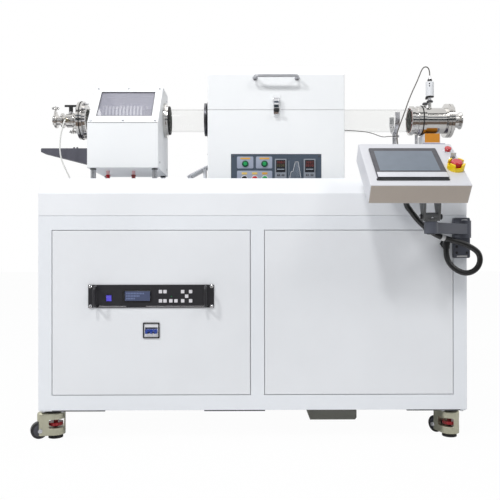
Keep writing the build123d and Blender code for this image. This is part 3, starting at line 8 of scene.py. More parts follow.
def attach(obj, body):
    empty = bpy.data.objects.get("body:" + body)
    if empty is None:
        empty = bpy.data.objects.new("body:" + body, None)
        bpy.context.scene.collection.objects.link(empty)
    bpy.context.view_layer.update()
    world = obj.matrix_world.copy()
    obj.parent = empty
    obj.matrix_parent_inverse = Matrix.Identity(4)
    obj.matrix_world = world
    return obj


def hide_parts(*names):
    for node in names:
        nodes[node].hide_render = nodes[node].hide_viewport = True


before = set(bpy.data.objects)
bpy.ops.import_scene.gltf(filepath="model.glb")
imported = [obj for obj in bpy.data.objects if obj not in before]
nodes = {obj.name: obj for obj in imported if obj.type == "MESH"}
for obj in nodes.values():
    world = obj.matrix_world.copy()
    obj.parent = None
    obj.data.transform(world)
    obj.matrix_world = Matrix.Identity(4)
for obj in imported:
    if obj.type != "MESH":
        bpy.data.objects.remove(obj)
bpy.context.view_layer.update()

# ------------------------------------------------------------------ camera
camera = bpy.data.objects.new("camera", bpy.data.cameras.new("camera"))
bpy.context.scene.collection.objects.link(camera)
camera.location = (-0.03, -2.627, 0.7285)
camera.rotation_euler = (math.radians(90.12), math.radians(0.07), math.radians(-0.435))
camera.data.lens = 45.3
camera.data.sensor_width = 36
camera.data.clip_end = 60
bpy.context.scene.camera = camera

# ------------------------------------------------------------------ sizes shared by the pieces
front = -0.204  # the cabinet's front face
deck_z = 0.9515  # the sunk deck of the worktop
rack_x, rack_z = -0.3915, 0.5565  # middle of the rack unit's front
breaker_z = 0.425
furnace_left, furnace_x, furnace_right = -0.1835, 0.0975, 0.3785
tube_y, tube_z = 0.165, 1.308  # the quartz tube's axis
box_left, box_x, box_right = -0.6765, -0.5315, -0.3865  # the coil box
ring_x = 0.7  # left face of the pump ring
port_x, gauge_x = 0.771, 0.792  # the two ports on top of the vacuum chamber
pivot_x, pivot_y = 0.8, -0.252  # the wall arm's pin
head_x, head_y, tilt_z = 0.628, -0.404, 0.85  # the arm head and the console's tilt pin
caster_x, caster_front, caster_back = 0.776, -0.144, 0.436
tilt = math.radians(38)  # the console's face from the horizontal
console_up = Vector((0, math.cos(tilt), math.sin(tilt)))
console_out = Vector((0, -math.sin(tilt), math.cos(tilt)))
console_corner = Vector((0.392, -0.514, 0.95))


def srgb(r, g, b):
    """A colour as it looks, 0 to 255, in the linear numbers that Blender uses."""
    return tuple((v / 255 / 12.92) if v <= 10 else ((v / 255 + 0.055) / 1.055) ** 2.4 for v in (r, g, b))


# ------------------------------------------------------------------ materials
class Nodes:
    """Short names for the nodes of one material."""

    def __init__(self, name):
        self.material = bpy.data.materials.new(name)
        self.material.use_nodes = True
        self.tree = self.material.node_tree
        self.shader = self.tree.nodes["Principled BSDF"]
        self.place = self.add("ShaderNodeTexCoord").outputs["Object"]

    def add(self, kind, **values):
        node = self.tree.nodes.new(kind)
        for key, value in values.items():
            setattr(node, key, value)
        return node

    def link(self, a, b):
        self.tree.links.new(a, b)

    def feed(self, name, socket):
        """Links a socket to the shader's input of that name."""
        self.link(socket, self.shader.inputs[name])

    def noise(self, scale, detail=3, stretch=None, rough=0.5):
        node = self.add("ShaderNodeTexNoise")
        node.inputs["Scale"].default_value = scale
        node.inputs["Detail"].default_value = detail
        node.inputs["Roughness"].default_value = rough
        if stretch:
            mapping = self.add("ShaderNodeMapping")
            mapping.inputs["Scale"].default_value = stretch
            self.link(self.place, mapping.inputs["Vector"])
            self.link(mapping.outputs["Vector"], node.inputs["Vector"])
        else:
            self.link(self.place, node.inputs["Vector"])
        return node.outputs["Fac"]

    def ramp(self, source, low, high, start=0.3, end=0.7):
        node = self.add("ShaderNodeValToRGB")
        node.color_ramp.elements[0].position = start
        node.color_ramp.elements[0].color = (*low, 1) if isinstance(low, tuple) else (low, low, low, 1)
        node.color_ramp.elements[1].position = end
        node.color_ramp.elements[1].color = (*high, 1) if isinstance(high, tuple) else (high, high, high, 1)
        self.link(source, node.inputs["Fac"])
        return node.outputs["Color"]

    def mix(self, fac, a, b, blend="MIX"):
        node = self.add("ShaderNodeMixRGB", blend_type=blend)
        for socket, value in (("Fac", fac), ("Color1", a), ("Color2", b)):
            if isinstance(value, (int, float)):
                node.inputs[socket].default_value = value
            elif isinstance(value, tuple):
                node.inputs[socket].default_value = (*value, 1)
            else:
                self.link(value, node.inputs[socket])
        return node.outputs["Color"]

    def bump(self, height, distance, strength=1.0, soft_edge=0.0, below=None):
        node = self.add("ShaderNodeBump")
        node.inputs["Distance"].default_value = distance
        node.inputs["Strength"].default_value = strength
        self.link(height, node.inputs["Height"])
        if below is not None:
            self.link(below, node.inputs["Normal"])
        elif soft_edge:
            bevel = self.add("ShaderNodeBevel", samples=4)
            bevel.inputs["Radius"].default_value = soft_edge
            self.link(bevel.outputs["Normal"], node.inputs["Normal"])
        self.link(node.outputs["Normal"], self.shader.inputs["Normal"])
        return node.outputs["Normal"]

    def set(self, **values):
        for key, value in values.items():
            self.shader.inputs[key.replace("_", " ")].default_value = value


def tinted(colour, factor):
    """The colour made lighter or darker."""
    return tuple(min(1, v * factor) for v in colour)


def paint(name, colour, roughness=0.42, grain=900, depth=0.00012, edge=0.0016, cloud=0.03, coat=0.0):
    """Powder-coated sheet: faint clouds of tone, orange-peel grain, softened edges."""
    n = Nodes(name)
    clouds = n.noise(2.3, 4)
    tone = n.ramp(clouds, tinted(colour, 1 - cloud), tinted(colour, 1 + cloud))
    dust = n.ramp(n.noise(160, 2), 0.0, 1.0, 0.62, 0.78)
    tone = n.mix(n.mix(1.0, dust, (0.1, 0.1, 0.1), "MULTIPLY"), tone, tinted(colour, 0.86))
    n.feed("Base Color", tone)
    n.feed("Roughness", n.ramp(n.noise(14, 3), roughness - 0.05, roughness + 0.07))
    n.bump(n.noise(grain, 2), depth, 0.5, soft_edge=edge)
    if coat:
        n.set(Coat_Weight=coat, Coat_Roughness=0.12)
    return n.material


def metal(name, colour, roughness=0.25, brushed=None, depth=0.00006, edge=0.0008, stain=0.08):
    """Bare metal: tone and roughness wander, with a brushed or turned grain where one is given."""
    n = Nodes(name)
    tone = n.ramp(n.noise(9, 4), tinted(colour, 1 - stain), tinted(colour, 1 + stain))
    n.feed("Base Color", tone)
    fine = n.noise(60, 5, stretch=brushed) if brushed else n.noise(420, 3)
    n.feed("Roughness", n.ramp(fine, roughness * 0.75, roughness * 1.3))
    n.bump(fine, depth, 0.4, soft_edge=edge)
    n.set(Metallic=1.0)
    return n.material


def plastic(name, colour, roughness=0.35, grain=700, depth=0.00008, edge=0.0008, cloud=0.05, coat=0.0):
    """Moulded plastic or rubber, with faint clouds of tone and a fine grain."""
    n = Nodes(name)
    tone = n.ramp(n.noise(11, 3), tinted(colour, 1 - cloud), tinted(colour, 1 + cloud))
    n.feed("Base Color", tone)
    n.feed("Roughness", n.ramp(n.noise(50, 3), roughness * 0.85, roughness * 1.2))
    n.bump(n.noise(grain, 2), depth, 0.4, soft_edge=edge)
    if coat:
        n.set(Coat_Weight=coat, Coat_Roughness=0.05)
    return n.material


def glass(name, colour, roughness=0.03, alpha=0.3):
    """A thin clear pane: a glossy, mostly clear skin, with faint draw lines."""
    n = Nodes(name)
    streak = n.noise(40, 3, stretch=(0.15, 1, 1))
    n.feed("Base Color", n.ramp(streak, tinted(colour, 0.96), tinted(colour, 1.03)))
    n.feed("Roughness", n.ramp(streak, roughness, roughness * 2.5))
    n.bump(streak, 0.00005, 0.3)
    n.set(Alpha=alpha, IOR=1.46)
    return n.material


def glow(name, colour, strength, roughness=0.3):
    """A face lit a little from within."""
    n = Nodes(name)
    n.feed("Base Color", n.ramp(n.noise(30, 2), tinted(colour, 0.94), tinted(colour, 1.05)))
    n.set(Roughness=roughness, Emission_Color=(*colour, 1), Emission_Strength=strength)
    return n.material


white = paint("white_paint", srgb(236, 239, 243))
furnace_white = paint("furnace_paint", srgb(249, 251, 253))
bright_white = paint("worktop_paint", srgb(240, 242, 245))
# the panels' white is a little darker than the frame's white paint: painted shade
panel_white_shaded = paint("panel_paint_painted_shade", srgb(234, 236, 239))
steel = metal("brushed_steel", srgb(200, 200, 203), 0.28, brushed=(1, 1, 18))
polished = metal("polished_steel", srgb(205, 203, 200), 0.12)
chrome = metal("chrome", srgb(222, 223, 226), 0.07)
dark_steel = metal("dark_steel", srgb(92, 92, 96), 0.35)
cast = metal("cast_champagne", srgb(186, 184, 164), 0.42, depth=0.0002)
black_paint = paint("black_paint", srgb(36, 36, 40), 0.4, cloud=0.08)
wedge_grey = paint("graphite_paint", srgb(84, 84, 94), 0.45, cloud=0.06)
pale_grey = paint("pale_grey_paint", srgb(196, 196, 196), 0.4)
console_grey = paint("console_paint", srgb(214, 215, 220), 0.38)
# the console's downward front face, warm grey and darker than the housing: painted shade with warm bounce
# light
console_front_shade = paint("console_front_painted_shade", srgb(180, 169, 158), 0.42)
satin = metal("satin_steel", srgb(186, 187, 191), 0.42, brushed=(18, 1, 1))
box_grey = paint("box_paint", srgb(100, 100, 92), 0.5)
slate = paint("slate_overlay", srgb(70, 82, 96), 0.42, cloud=0.05)
black_plastic = plastic("black_plastic", srgb(28, 28, 30))
soft_black = plastic("soft_black", srgb(26, 27, 32), 0.7)
black_gloss = plastic("black_gloss", srgb(16, 16, 18), 0.15, coat=0.4)
rubber = plastic("rubber", srgb(30, 29, 29), 0.7, grain=1500, depth=0.0002)
white_plastic = plastic("white_plastic", srgb(226, 227, 230), 0.35)
key_white = plastic("key_white", srgb(222, 220, 224), 0.3)
grey_plastic = plastic("grey_plastic", srgb(66, 66, 73), 0.45)
chin_grey = plastic("screen_chin", srgb(214, 215, 221), 0.4)
red_gloss = plastic("red_gloss", srgb(196, 34, 44), 0.22, coat=0.5)
dark_red = plastic("dark_red", srgb(150, 22, 30), 0.35)
green_gloss = plastic("green_gloss", srgb(34, 160, 90), 0.22, coat=0.5)
blue_gloss = plastic("blue_gloss", srgb(30, 62, 150), 0.25, coat=0.3)
rocker_blue = glow("rocker_blue", srgb(90, 80, 205), 0.15)
yellow = plastic("safety_yellow", srgb(250, 214, 20), 0.3, coat=0.2)
orange = plastic("orange_pad", srgb(214, 140, 34), 0.5)
ceramic = plastic("ceramic_board", srgb(238, 234, 226), 0.9, grain=500, depth=0.0006)
hot_wire = metal("resistance_wire", srgb(120, 104, 92), 0.5)
silvered = plastic("silvered_copper", srgb(246, 246, 248), 0.25, cloud=0.02, coat=0.3)
hose_white = plastic("hose_white", srgb(232, 232, 228), 0.3)
hose_black = plastic("hose_black", srgb(17, 18, 19), 0.32, grain=300, coat=0.15)
slate_paint = paint("slate_paint", srgb(78, 81, 91), 0.42, cloud=0.05)
ear_grey = paint("ear_paint", srgb(98, 99, 99), 0.45, cloud=0.05)
inner_grey = paint("inner_paint", srgb(196, 195, 214), 0.6, cloud=0.04)
subplate = paint("subplate_overlay", srgb(156, 164, 182), 0.4, grain=500, edge=0.0004)
label_orange = plastic("label_orange", srgb(222, 168, 72), 0.5, edge=0.0003)
label_yellow = plastic("label_yellow", srgb(228, 198, 112), 0.5, edge=0.0003)
line_pale = plastic("line_pale", srgb(190, 200, 214), 0.5, edge=0.0002)
red_digit = glow("red_digit", srgb(120, 42, 36), 0.12)
dark_green = plastic("dark_green", srgb(16, 84, 58), 0.25, coat=0.4)
olive_digit = glow("olive_digit", srgb(82, 74, 36), 0.12)
window_dark = plastic("window_dark", srgb(40, 42, 48), 0.2, edge=0.0003, coat=0.3)
instrument_grey = plastic("instrument_grey", srgb(146, 152, 162), 0.4, edge=0.0004)
lcd_face = glow("lcd_face", srgb(98, 108, 120), 0.2, 0.34)
pink = plastic("pink_insulator", srgb(236, 190, 192), 0.4)
brown_red = plastic("brown_red", srgb(140, 62, 58), 0.4)
brass = metal("nickel_brass", srgb(168, 160, 140), 0.3)
inner_ring = plastic("red_brown_seal", srgb(120, 44, 34), 0.35, cloud=0.25)
zinc = metal("zinc_plate", srgb(176, 178, 182), 0.3)
violet_plate = paint("violet_plate", srgb(150, 148, 172), 0.4, cloud=0.05)
lead_black = plastic("lead_black", srgb(52, 46, 44), 0.5)
cable_grey = plastic("cable_grey", srgb(92, 88, 84), 0.45)
lcd_blue = glow("lcd_blue", srgb(62, 70, 96), 0.35, 0.15)
lcd_mark = glow("lcd_mark", srgb(104, 116, 150), 0.3, 0.2)
pane = glass("window_pane", srgb(222, 222, 236), 0.05, 0.3)


def dress(name, material, *rules):
    """Puts material on a CAD node, and each rule's material on the faces that pass its test."""
    mesh = nodes[name].data
    mesh.materials.clear()
    mesh.materials.append(material)
    for face in mesh.polygons:
        face.material_index = 0
    for other, test in rules:
        mesh.materials.append(other)
        index = len(mesh.materials) - 1
        for face in mesh.polygons:
            if test(face.center, face.normal):
                face.material_index = index


# ------------------------------------------------------------------ cords
def smooth_cord(name, points, radius, material, body="cabinet"):
    """A round cord along one NURBS spline, whose control points are the route's."""
    curve = bpy.data.curves.new(name, "CURVE")
    curve.dimensions = "3D"
    spline = curve.splines.new("NURBS")
    spline.points.add(len(points) - 1)
    for point, place in zip(spline.points, points):
        point.co = (*place, 1)
    spline.order_u = 3
    spline.use_endpoint_u = True
    spline.resolution_u = 10
    curve.bevel_depth = radius
    curve.bevel_resolution = 5
    curve.use_fill_caps = True
    curve.materials.append(material)
    piece = bpy.data.objects.new(name, curve)
    bpy.context.scene.collection.objects.link(piece)
    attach(piece, body)
    return piece


def millimetres(route):
    """x, depth behind the cabinet's front and z, in millimetres, to the frame's metres."""
    return [(x / 1000, front + depth / 1000, z / 1000) for x, depth, z in route]


def below_console(right, up, height):
    """A route's point in millimetres, measured on the console's face."""
    place = console_corner * 1000 + Vector((right, 0, 0)) + console_up * up + console_out * height
    return (place.x, place.y - front * 1000, place.z)


hose_points = millimetres([
    below_console(157, 100, -94),
    below_console(157, 100, -138),
    (574, -135, 873),
    (601, -125, 843),
    (636, -114, 812),
    (679, -103, 786),
    (724, -93, 772),
    (765, -85, 763),
    (803, -79, 749),
    (836.5, -74, 730),
    (849, -71, 712),
    (852, -68, 690),
    (845, -65, 669),
    (830, -62, 653),
    (809, -58, 645),
    (787, -53, 647.5),
    (762, -45, 662),
    (745, -35, 684),
    (737, -27, 711),
    (737, -27, 738),
])
gas_points = millimetres([
    (-808, 330, 1302),
    (-808, 303, 1302),
    (-812, 291, 1278),
    (-821, 289, 1242),
    (-827, 290, 1204),
    (-828, 292, 1164),
    (-822, 294, 1124),
    (-806, 295, 1086),
    (-789, 298, 1052),
    (-779, 299, 1020),
    (-776, 300, 994),
    (-776, 300, 973.5),
])
gauge_points = millimetres([
    (792, 369, 1507),
    (792, 369, 1526),
    (784, 367, 1546),
    (765, 362, 1547),
    (752, 357, 1530),
    (741, 351, 1504),
    (727, 344, 1473),
    (707, 335, 1434),
    (683, 320, 1382),
    (668, 309, 1343),
    (651, 298, 1303),
    (637, 289, 1269),
    (624, 280, 1238),
    (623, 272, 1200),
    (629, 266, 1150),
    (636, 263, 1095),
    (638, 262, 1030),
    (638, 262, 973.5),
])
lead_points = millimetres([
    (387.5, 300, 1252),
    (418, 300, 1252),
    (456, 302, 1250),
    (493, 304, 1247),
    (525, 305, 1240),
    (550, 306, 1230),
    (572, 307, 1224),
    (596, 307, 1228),
    (630, 307, 1228),
])


def declare(node):
    """Hides the CAD node, which the cord stands for."""
    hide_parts(node)


hose = smooth_cord("hose_of_console", hose_points, 0.0105, hose_black)
declare("control_hose")
gas = smooth_cord("hose_of_gas", gas_points, 0.003, hose_white)
declare("gas_hose")
gauge = smooth_cord("cable_of_gauge", gauge_points, 0.0025, cable_grey)
declare("gauge_cable")
lead = smooth_cord("lead_of_thermocouple", lead_points, 0.0015, lead_black)
declare("thermocouple_lead")

# ------------------------------------------------------------------ CAD nodes
plain_nodes = {
    "worktop": bright_white,
    "left_panel": panel_white_shaded,
    "rack_rocker": rocker_blue,
    "breaker_toggle": blue_gloss,
    "underside_box": box_grey,
    "furnace_body": furnace_white,
    "lid_shell": furnace_white,
    "lid_insulation": ceramic,
    "lower_insulation": ceramic,
    "lid_element": hot_wire,
    "lower_element": hot_wire,
    "lid_handle": satin,
    "draw_latch": chrome,
    "control_panel": slate,
    "push_button_black": black_gloss,
    "push_button_red": red_gloss,
    "push_button_green": green_gloss,
    "heat_shields": black_paint,
    "coil_window": pane,
    "rf_coil": silvered,
    "tube_flanges": polished,
    "flange_seals": rubber,
    "gas_valve": polished,
    "valve_handle": black_plastic,
    "tapered_bracket": wedge_grey,
    "vacuum_chamber": polished,
    "wall_bracket": slate_paint,
    "swing_arm": slate_paint,
    "arm_head": ear_grey,
    "touch_screen": grey_plastic,
    "console_button": red_gloss,
    "key_switch": steel,
    "estop_button": red_gloss,
}
for name, material in plain_nodes.items():
    dress(name, material)


def is_frame_underside(c, n):
    return abs(c.x) > 0.7 and c.z < 0.1125


def is_hose_outlet(c, n):
    return c.y < front - 0.0005 and c.x > 0.7 and c.z > 0.72


def is_rack_handle(c, n):
    return c.y < front - 0.0045 and abs(abs(c.x - rack_x) - 0.2) > 0.02


def is_breaker_frame(c, n):
    return c.y < front and (abs(c.x - rack_x) > 0.027 or abs(c.z - breaker_z) > 0.025)


dress("cabinet_frame", white, (black_plastic, is_frame_underside))
dress("right_panel", panel_white_shaded, (black_plastic, is_hose_outlet))
dress("rack_unit", black_paint, (steel, is_rack_handle))
dress("rack_controls", key_white, (black_gloss, lambda c, n: c.x < -0.38))
dress("breaker_body", white_plastic, (black_plastic, is_breaker_frame))
for corner in ("front_left", "front_right", "back_left", "back_right"):
    dress(f"caster_housing_{corner}", cast)
    dress(f"caster_wheel_{corner}", black_plastic)
    dress(f"levelling_foot_{corner}", rubber, (dark_red, lambda c, n: c.z > 0.045))
dress("panel_instruments", instrument_grey, (green_gloss, lambda c, n: c.x < 0.07))


def quartz_ware():
    """Clear ware whose skin shows more towards the tube's top and bottom edges: painted reflection, where the
    camera sees the wall edge-on.
    """
    n = Nodes("quartz_ware")
    place = n.add("ShaderNodeTexCoord")
    parts = n.add("ShaderNodeSeparateXYZ")
    n.link(place.outputs["Generated"], parts.inputs[0])
    level = n.add("ShaderNodeMath", operation="SUBTRACT")
    n.link(parts.outputs["Z"], level.inputs[0])
    level.inputs[1].default_value = 0.5
    away = n.add("ShaderNodeMath", operation="ABSOLUTE")
    n.link(level.outputs[0], away.inputs[0])
    # the skin grows more opaque towards the top and bottom: painted edge reflection
    edge = n.add("ShaderNodeMapRange")
    n.link(away.outputs[0], edge.inputs["Value"])
    for socket, value in (("From Min", 0.462), ("From Max", 0.5), ("To Min", 0.05), ("To Max", 0.3)):
        edge.inputs[socket].default_value = value
    n.feed("Alpha", edge.outputs["Result"])
    draw = n.noise(40, 3, stretch=(0.15, 1, 1))
    tone = n.ramp(draw, srgb(206, 210, 200), srgb(222, 225, 218))
    n.feed("Base Color", tone)
    n.feed("Roughness", n.ramp(draw, 0.03, 0.07))
    n.bump(draw, 0.00005, 0.3)
    n.set(IOR=1.46)
    return n.material


dress("quartz_tube", quartz_ware())
box_lean = math.atan2(0.186, 0.159)  # the sloping face of the coil box
slope_foot = Vector((box_x, -0.049, 1.2565))


def below_slope(c):
    """Depth of a point below the plane of the coil box's sloping face."""
    offset = c - slope_foot
    return offset.y * math.sin(box_lean) - offset.z * math.cos(box_lean)


def in_coil_box(c, n):
    inside = abs(c.x - box_x) < 0.1425 and -0.0465 < c.y < 0.2755 and 1.0742 < c.z < 1.4402
    return inside and below_slope(c) > 0.0025


dress("coil_box", furnace_white, (inner_grey, in_coil_box), (zinc, lambda c, n: c.z < 1.0712))
dress("pressure_gauge", bright_white, (steel, lambda c, n: c.z < 1.4135 or c.z > 1.4815))
dress("tube_stand", steel, (orange, lambda c, n: c.z > 1.1985 and abs(c.x - 0.789) < 0.034))


estop_right, estop_up = 0.316, 0.112


def on_face(c):
    """Right, up and out of a point, measured on the console's face."""
    offset = c - console_corner
    return offset.x, offset.dot(console_up), offset.dot(console_out)


def in_guard(c, n):
    right, up, out = on_face(c)
    return out > 0.0005 and math.hypot(right - estop_right, up - estop_up) < 0.032


def below_housing(c, n):
    return on_face(c)[2] < -0.0745


def is_hose_gland(c, n):
    right, up, out = on_face(c)
    return out < -0.0745 and math.hypot(right - 0.157, up - 0.1) < 0.015


# the console's front face, which faces down: it takes the painted-shade grey
def front_in_painted_shade(c, n):
    return n.dot(console_up) < -0.9 and on_face(c)[1] < 0.002


dress(
    "console_housing", console_grey,
    (console_front_shade, front_in_painted_shade), (yellow, in_guard), (ear_grey, below_housing), (black_plastic, is_hose_gland),
)

# ------------------------------------------------------------------ builders of small pieces
def turned_axes(axis, up=(0, 0, 1)):
    """A rotation whose local Z is axis, and whose local Y is as near up as it can be."""
    z = Vector(axis).normalized()
    y = Vector(up) - z * Vector(up).dot(z)
    if y.length < 1e-6:
        y = Vector((0, 1, 0)) - z * z.y
    y.normalize()
    return Matrix((y.cross(z), y, z)).transposed()


class Shape:
    """Gathers bevelled blocks, turned profiles and prisms into one piece."""

    def __init__(self):
        self.mesh = bmesh.new()

    def bevelled(self, edges, width):
        made = bmesh.ops.bevel(self.mesh, geom=edges, offset=width, segments=2, profile=0.6, affect="EDGES")
        return made["faces"]

    def block(self, centre, size, bevel=0.0008, axis=(0, 0, 1), up=(0, 1, 0), index=0):
        made = bmesh.ops.create_cube(self.mesh, size=1)
        turn = turned_axes(axis, up)
        corners = made["verts"]
        for corner in corners:
            local = Vector((corner.co.x * size[0], corner.co.y * size[1], corner.co.z * size[2]))
            corner.co = turn @ local + Vector(centre)
        faces = set(f for v in corners for f in v.link_faces)
        for face in faces:
            face.material_index = index
        if bevel:
            edges = set(e for f in faces for e in f.edges)
            made = self.bevelled(list(edges), bevel)
            faces = set(f for f in faces if f.is_valid) | set(made)
        for face in faces:
            face.material_index = index
        return self

    def turn(self, profile, origin, axis, segments=28, index=0, sides=None, hollow=False):
        """Revolves (radius, height) pairs about axis: a solid, or a hollow ring."""
        count = sides or segments
        spin = turned_axes(axis)
        rings = []
        for radius, height in profile:
            ring = []
            for k in range(count):
                a = 2 * math.pi * (k + 0.5) / count
                local = Vector((radius * math.cos(a), radius * math.sin(a), height))
                ring.append(self.mesh.verts.new(spin @ local + Vector(origin)))
            rings.append(ring)
        faces = []
        for low, high in zip(rings, rings[1:] + rings[:1] if hollow else rings[1:]):
            for k in range(count):
                n = (k + 1) % count
                faces.append(self.mesh.faces.new((low[k], low[n], high[n], high[k])))
        if not hollow:
            faces.append(self.mesh.faces.new(list(reversed(rings[0]))))
            faces.append(self.mesh.faces.new(rings[-1]))
        for face in faces:
            face.material_index = index
        return self

    def prism(self, outline, origin, axis, depth, up=(0, 0, 1), index=0, bevel=0.0):
        """Extrudes a flat outline, given to the right of and above origin, along axis."""
        spin = turned_axes(axis, up)
        low = [self.mesh.verts.new(spin @ Vector((x, y, 0)) + Vector(origin)) for x, y in outline]
        high = [self.mesh.verts.new(spin @ Vector((x, y, depth)) + Vector(origin)) for x, y in outline]
        count = len(outline)
        faces = [self.mesh.faces.new(list(reversed(low))), self.mesh.faces.new(high)]
        for k in range(count):
            n = (k + 1) % count
            faces.append(self.mesh.faces.new((low[k], low[n], high[n], high[k])))
        for face in faces:
            face.material_index = index
        if bevel:
            made = self.bevelled(list(faces[1].edges), bevel)
            faces = [f for f in faces if f.is_valid] + made
        for face in faces:
            face.material_index = index
        return self

    def screw(self, place, axis, radius=0.004, index=0, dark=1):
        """A pan-head screw on its washer, with a dark cross on its head: painted shade of the cross recess."""
        height = radius * 0.55
        self.turn(
            [(radius * 1.5, 0), (radius * 1.5, radius * 0.2), (radius, radius * 0.25), (radius, height * 0.6),
             (radius * 0.82, height * 0.95), (radius * 0.5, height * 1.1)],
            place, axis, 20, index,
        )
        top = Vector(place) + Vector(axis).normalized() * height * 1.1
        # the dark cross: painted shade of the recess
        for turn in (0, 1):
            self.block(
                top, (radius * (1.0, 0.24)[turn], radius * (0.24, 1.0)[turn], radius * 0.12), 0,
                axis, (0, 0, 1) if abs(Vector(axis).z) < 0.9 else (0, 1, 0), dark,
            )
        return self

    def bolt(self, place, axis, radius=0.006, index=0):
        """A hexagon head on its washer."""
        height = radius * 0.8
        self.turn([(radius * 1.35, 0), (radius * 1.35, radius * 0.22)], place, axis, 20, index)
        self.turn(
            [(radius, radius * 0.22), (radius, height), (radius * 0.86, height * 1.15)],
            place, axis, index=index, sides=6,
        )
        return self

    def done(self, name, materials, body, angle=35):
        bmesh.ops.recalc_face_normals(self.mesh, faces=self.mesh.faces)
        mesh = bpy.data.meshes.new(name)
        self.mesh.to_mesh(mesh)
        self.mesh.free()
        for material in materials if isinstance(materials, (list, tuple)) else [materials]:
            mesh.materials.append(material)
        for face in mesh.polygons:
            face.use_smooth = True
        mesh.set_sharp_from_angle(angle=math.radians(angle))
        piece = bpy.data.objects.new(name, mesh)
        bpy.context.scene.collection.objects.link(piece)
        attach(piece, body)
        return piece


def rounded(width, height, radius, steps=5):
    """Outline of a rectangle with round corners, about its middle."""
    outline = []
    for k, (sx, sy) in enumerate(((1, 1), (-1, 1), (-1, -1), (1, -1))):
        for step in range(steps + 1):
            a = math.pi / 2 * (k + step / steps)
            x = sx * (width / 2 - radius) + radius * math.cos(a)
            y = sy * (height / 2 - radius) + radius * math.sin(a)
            outline.append((x, y))
    return outline


def console_place(right, up, out):
    """A point measured on the console's face, in metres."""
    return console_corner + Vector((right, 0, 0)) + console_up * up + console_out * out


FRONT = (0, -1, 0)
BACK = (0, 1, 0)
UP = (0, 0, 1)
DOWN = (0, 0, -1)
AXIS_X = (1, 0, 0)
AXIS_LEFT = (-1, 0, 0)
FACE_OUT = tuple(console_out)
FACE_UP = tuple(console_up)

# ------------------------------------------------------------------ cabinet details
rails = Shape()
for left, right in ((-0.774, -0.57), (-0.189, 0.046), (0.593, 0.8)):
    rails.block(((left + right) / 2, front + 0.0065, 0.1155), (right - left, 0.009, 0.005), 0.0012)
    rails.block(((left + right) / 2, front + 0.02, 0.1125), (right - left - 0.006, 0.026, 0.0016), 0.0005)
rails.done("bottom_flanges", dark_steel, "cabinet")

plate_bolts = Shape()
for x in (-caster_x, caster_x):
    for y in (caster_front, caster_back):
        for dx in (-0.037, 0.037):
            for dy in (-0.037, 0.037):
                plate_bolts.bolt((x + dx, y + dy, 0.1122), DOWN, 0.0065)
plate_bolts.done("caster_plate_bolts", steel, "cabinet")

back_screws = Shape()
for x in (-0.79, -0.4, 0.0, 0.4, 0.79):
    for z in (0.15, 0.49, 0.83):
        back_screws.screw((x, 0.496, z), BACK, 0.0045)
back_screws.done("back_sheet_screws", [steel, black_plastic], "cabinet")

# ------------------------------------------------------------------ rack unit
rack_y = front - 0.004
rack_trim = Shape()
for side in (-1, 1):
    for rise in (-1, 1):
        x, z = rack_x + side * 0.2325, rack_z + rise * 0.0381
        rack_trim.turn([(0.0068, 0), (0.0068, 0.0012)], (x, rack_y, z), FRONT)
        rack_trim.screw((x, rack_y - 0.0012, z), FRONT, 0.0042)
rack_trim.done("rack_screws", [chrome, black_plastic], "cabinet")
rack_line = Shape()
for left, right in ((-0.592, -0.487), (-0.411, -0.182)):
    rack_line.block(((left + right) / 2, rack_y - 0.0006, 0.5176), (right - left, 0.0012, 0.003), 0.0004)
rack_line.done("rack_trim_line", steel, "cabinet")
display = Shape()
display.prism(rounded(0.104, 0.045, 0.002), (-0.4435, rack_y, 0.5575), FRONT, 0.0032, bevel=0.0006, index=0)
display.prism(rounded(0.096, 0.037, 0.001), (-0.4435, rack_y - 0.0032, 0.5575), FRONT, 0.0006, index=1)
for row in range(3):
    for k in range(12 - 3 * row):
        cell = (-0.484 + k * 0.0058, rack_y - 0.0039, 0.5675 - row * 0.0098)
        display.block(cell, (0.0034, 0.0056, 0.0002), 0, FRONT, UP, 2)
display.done("rack_display", [black_gloss, lcd_blue, lcd_mark], "cabinet")
led = Shape()
led.turn([(0.0016, 0), (0.0016, 0.0008), (0.001, 0.0016)], (-0.3135, rack_y, 0.556), FRONT, 16)
led.done("rack_lamp", green_gloss, "cabinet")

# ------------------------------------------------------------------ control panel of the furnace
PANEL_Y = -0.048
plates = Shape()
LAMPS_X = (-0.0295, 0.0495)
for x, z, width, height in (
    (-0.0298, 1.0925, 0.0674, 0.0491),
    (0.0477, 1.0925, 0.067, 0.0491),
    (0.00885, 1.0295, 0.1447, 0.0589),
):
    plates.prism(rounded(width, height, 0.005), (x, PANEL_Y, z), FRONT, 0.0012, bevel=0.0004)
for x in LAMPS_X:
    plates.prism(rounded(0.04, 0.0066, 0.001), (x, PANEL_Y - 0.0012, 1.109), FRONT, 0.0005, index=1)
for x, index in ((-0.033, 2), (0.0095, 2), (0.0505, 1)):
    plates.prism(rounded(0.022, 0.0088, 0.001), (x, PANEL_Y - 0.0012, 1.0478), FRONT, 0.0005, index=index)
    plates.turn(
        [(0.0138, 0), (0.0138, 0.0012), (0.0126, 0.0018)], (x, PANEL_Y - 0.001, 1.0255), FRONT, 32, 3
    )
for x in LAMPS_X:
    plates.turn(
        [(0.0136, 0), (0.0136, 0.003), (0.012, 0.0042)], (x, PANEL_Y - 0.001, 1.087), FRONT, 32, 4
    )
plate_looks = [subplate, label_orange, label_yellow, white_plastic, dark_green]
plates.done("panel_plates", plate_looks, "cabinet")

graph = Shape()
graph.prism(rounded(0.058, 0.1, 0.002), (0.1735, PANEL_Y, 1.059), FRONT, 0.0008)
axis_left, axis_low = 0.1495, 1.016
graph.block((axis_left, PANEL_Y - 0.001, 1.057), (0.001, 0.0004, 0.086), 0, index=1)
graph.block((0.1735, PANEL_Y - 0.001, axis_low), (0.05, 0.0004, 0.001), 0, index=1)
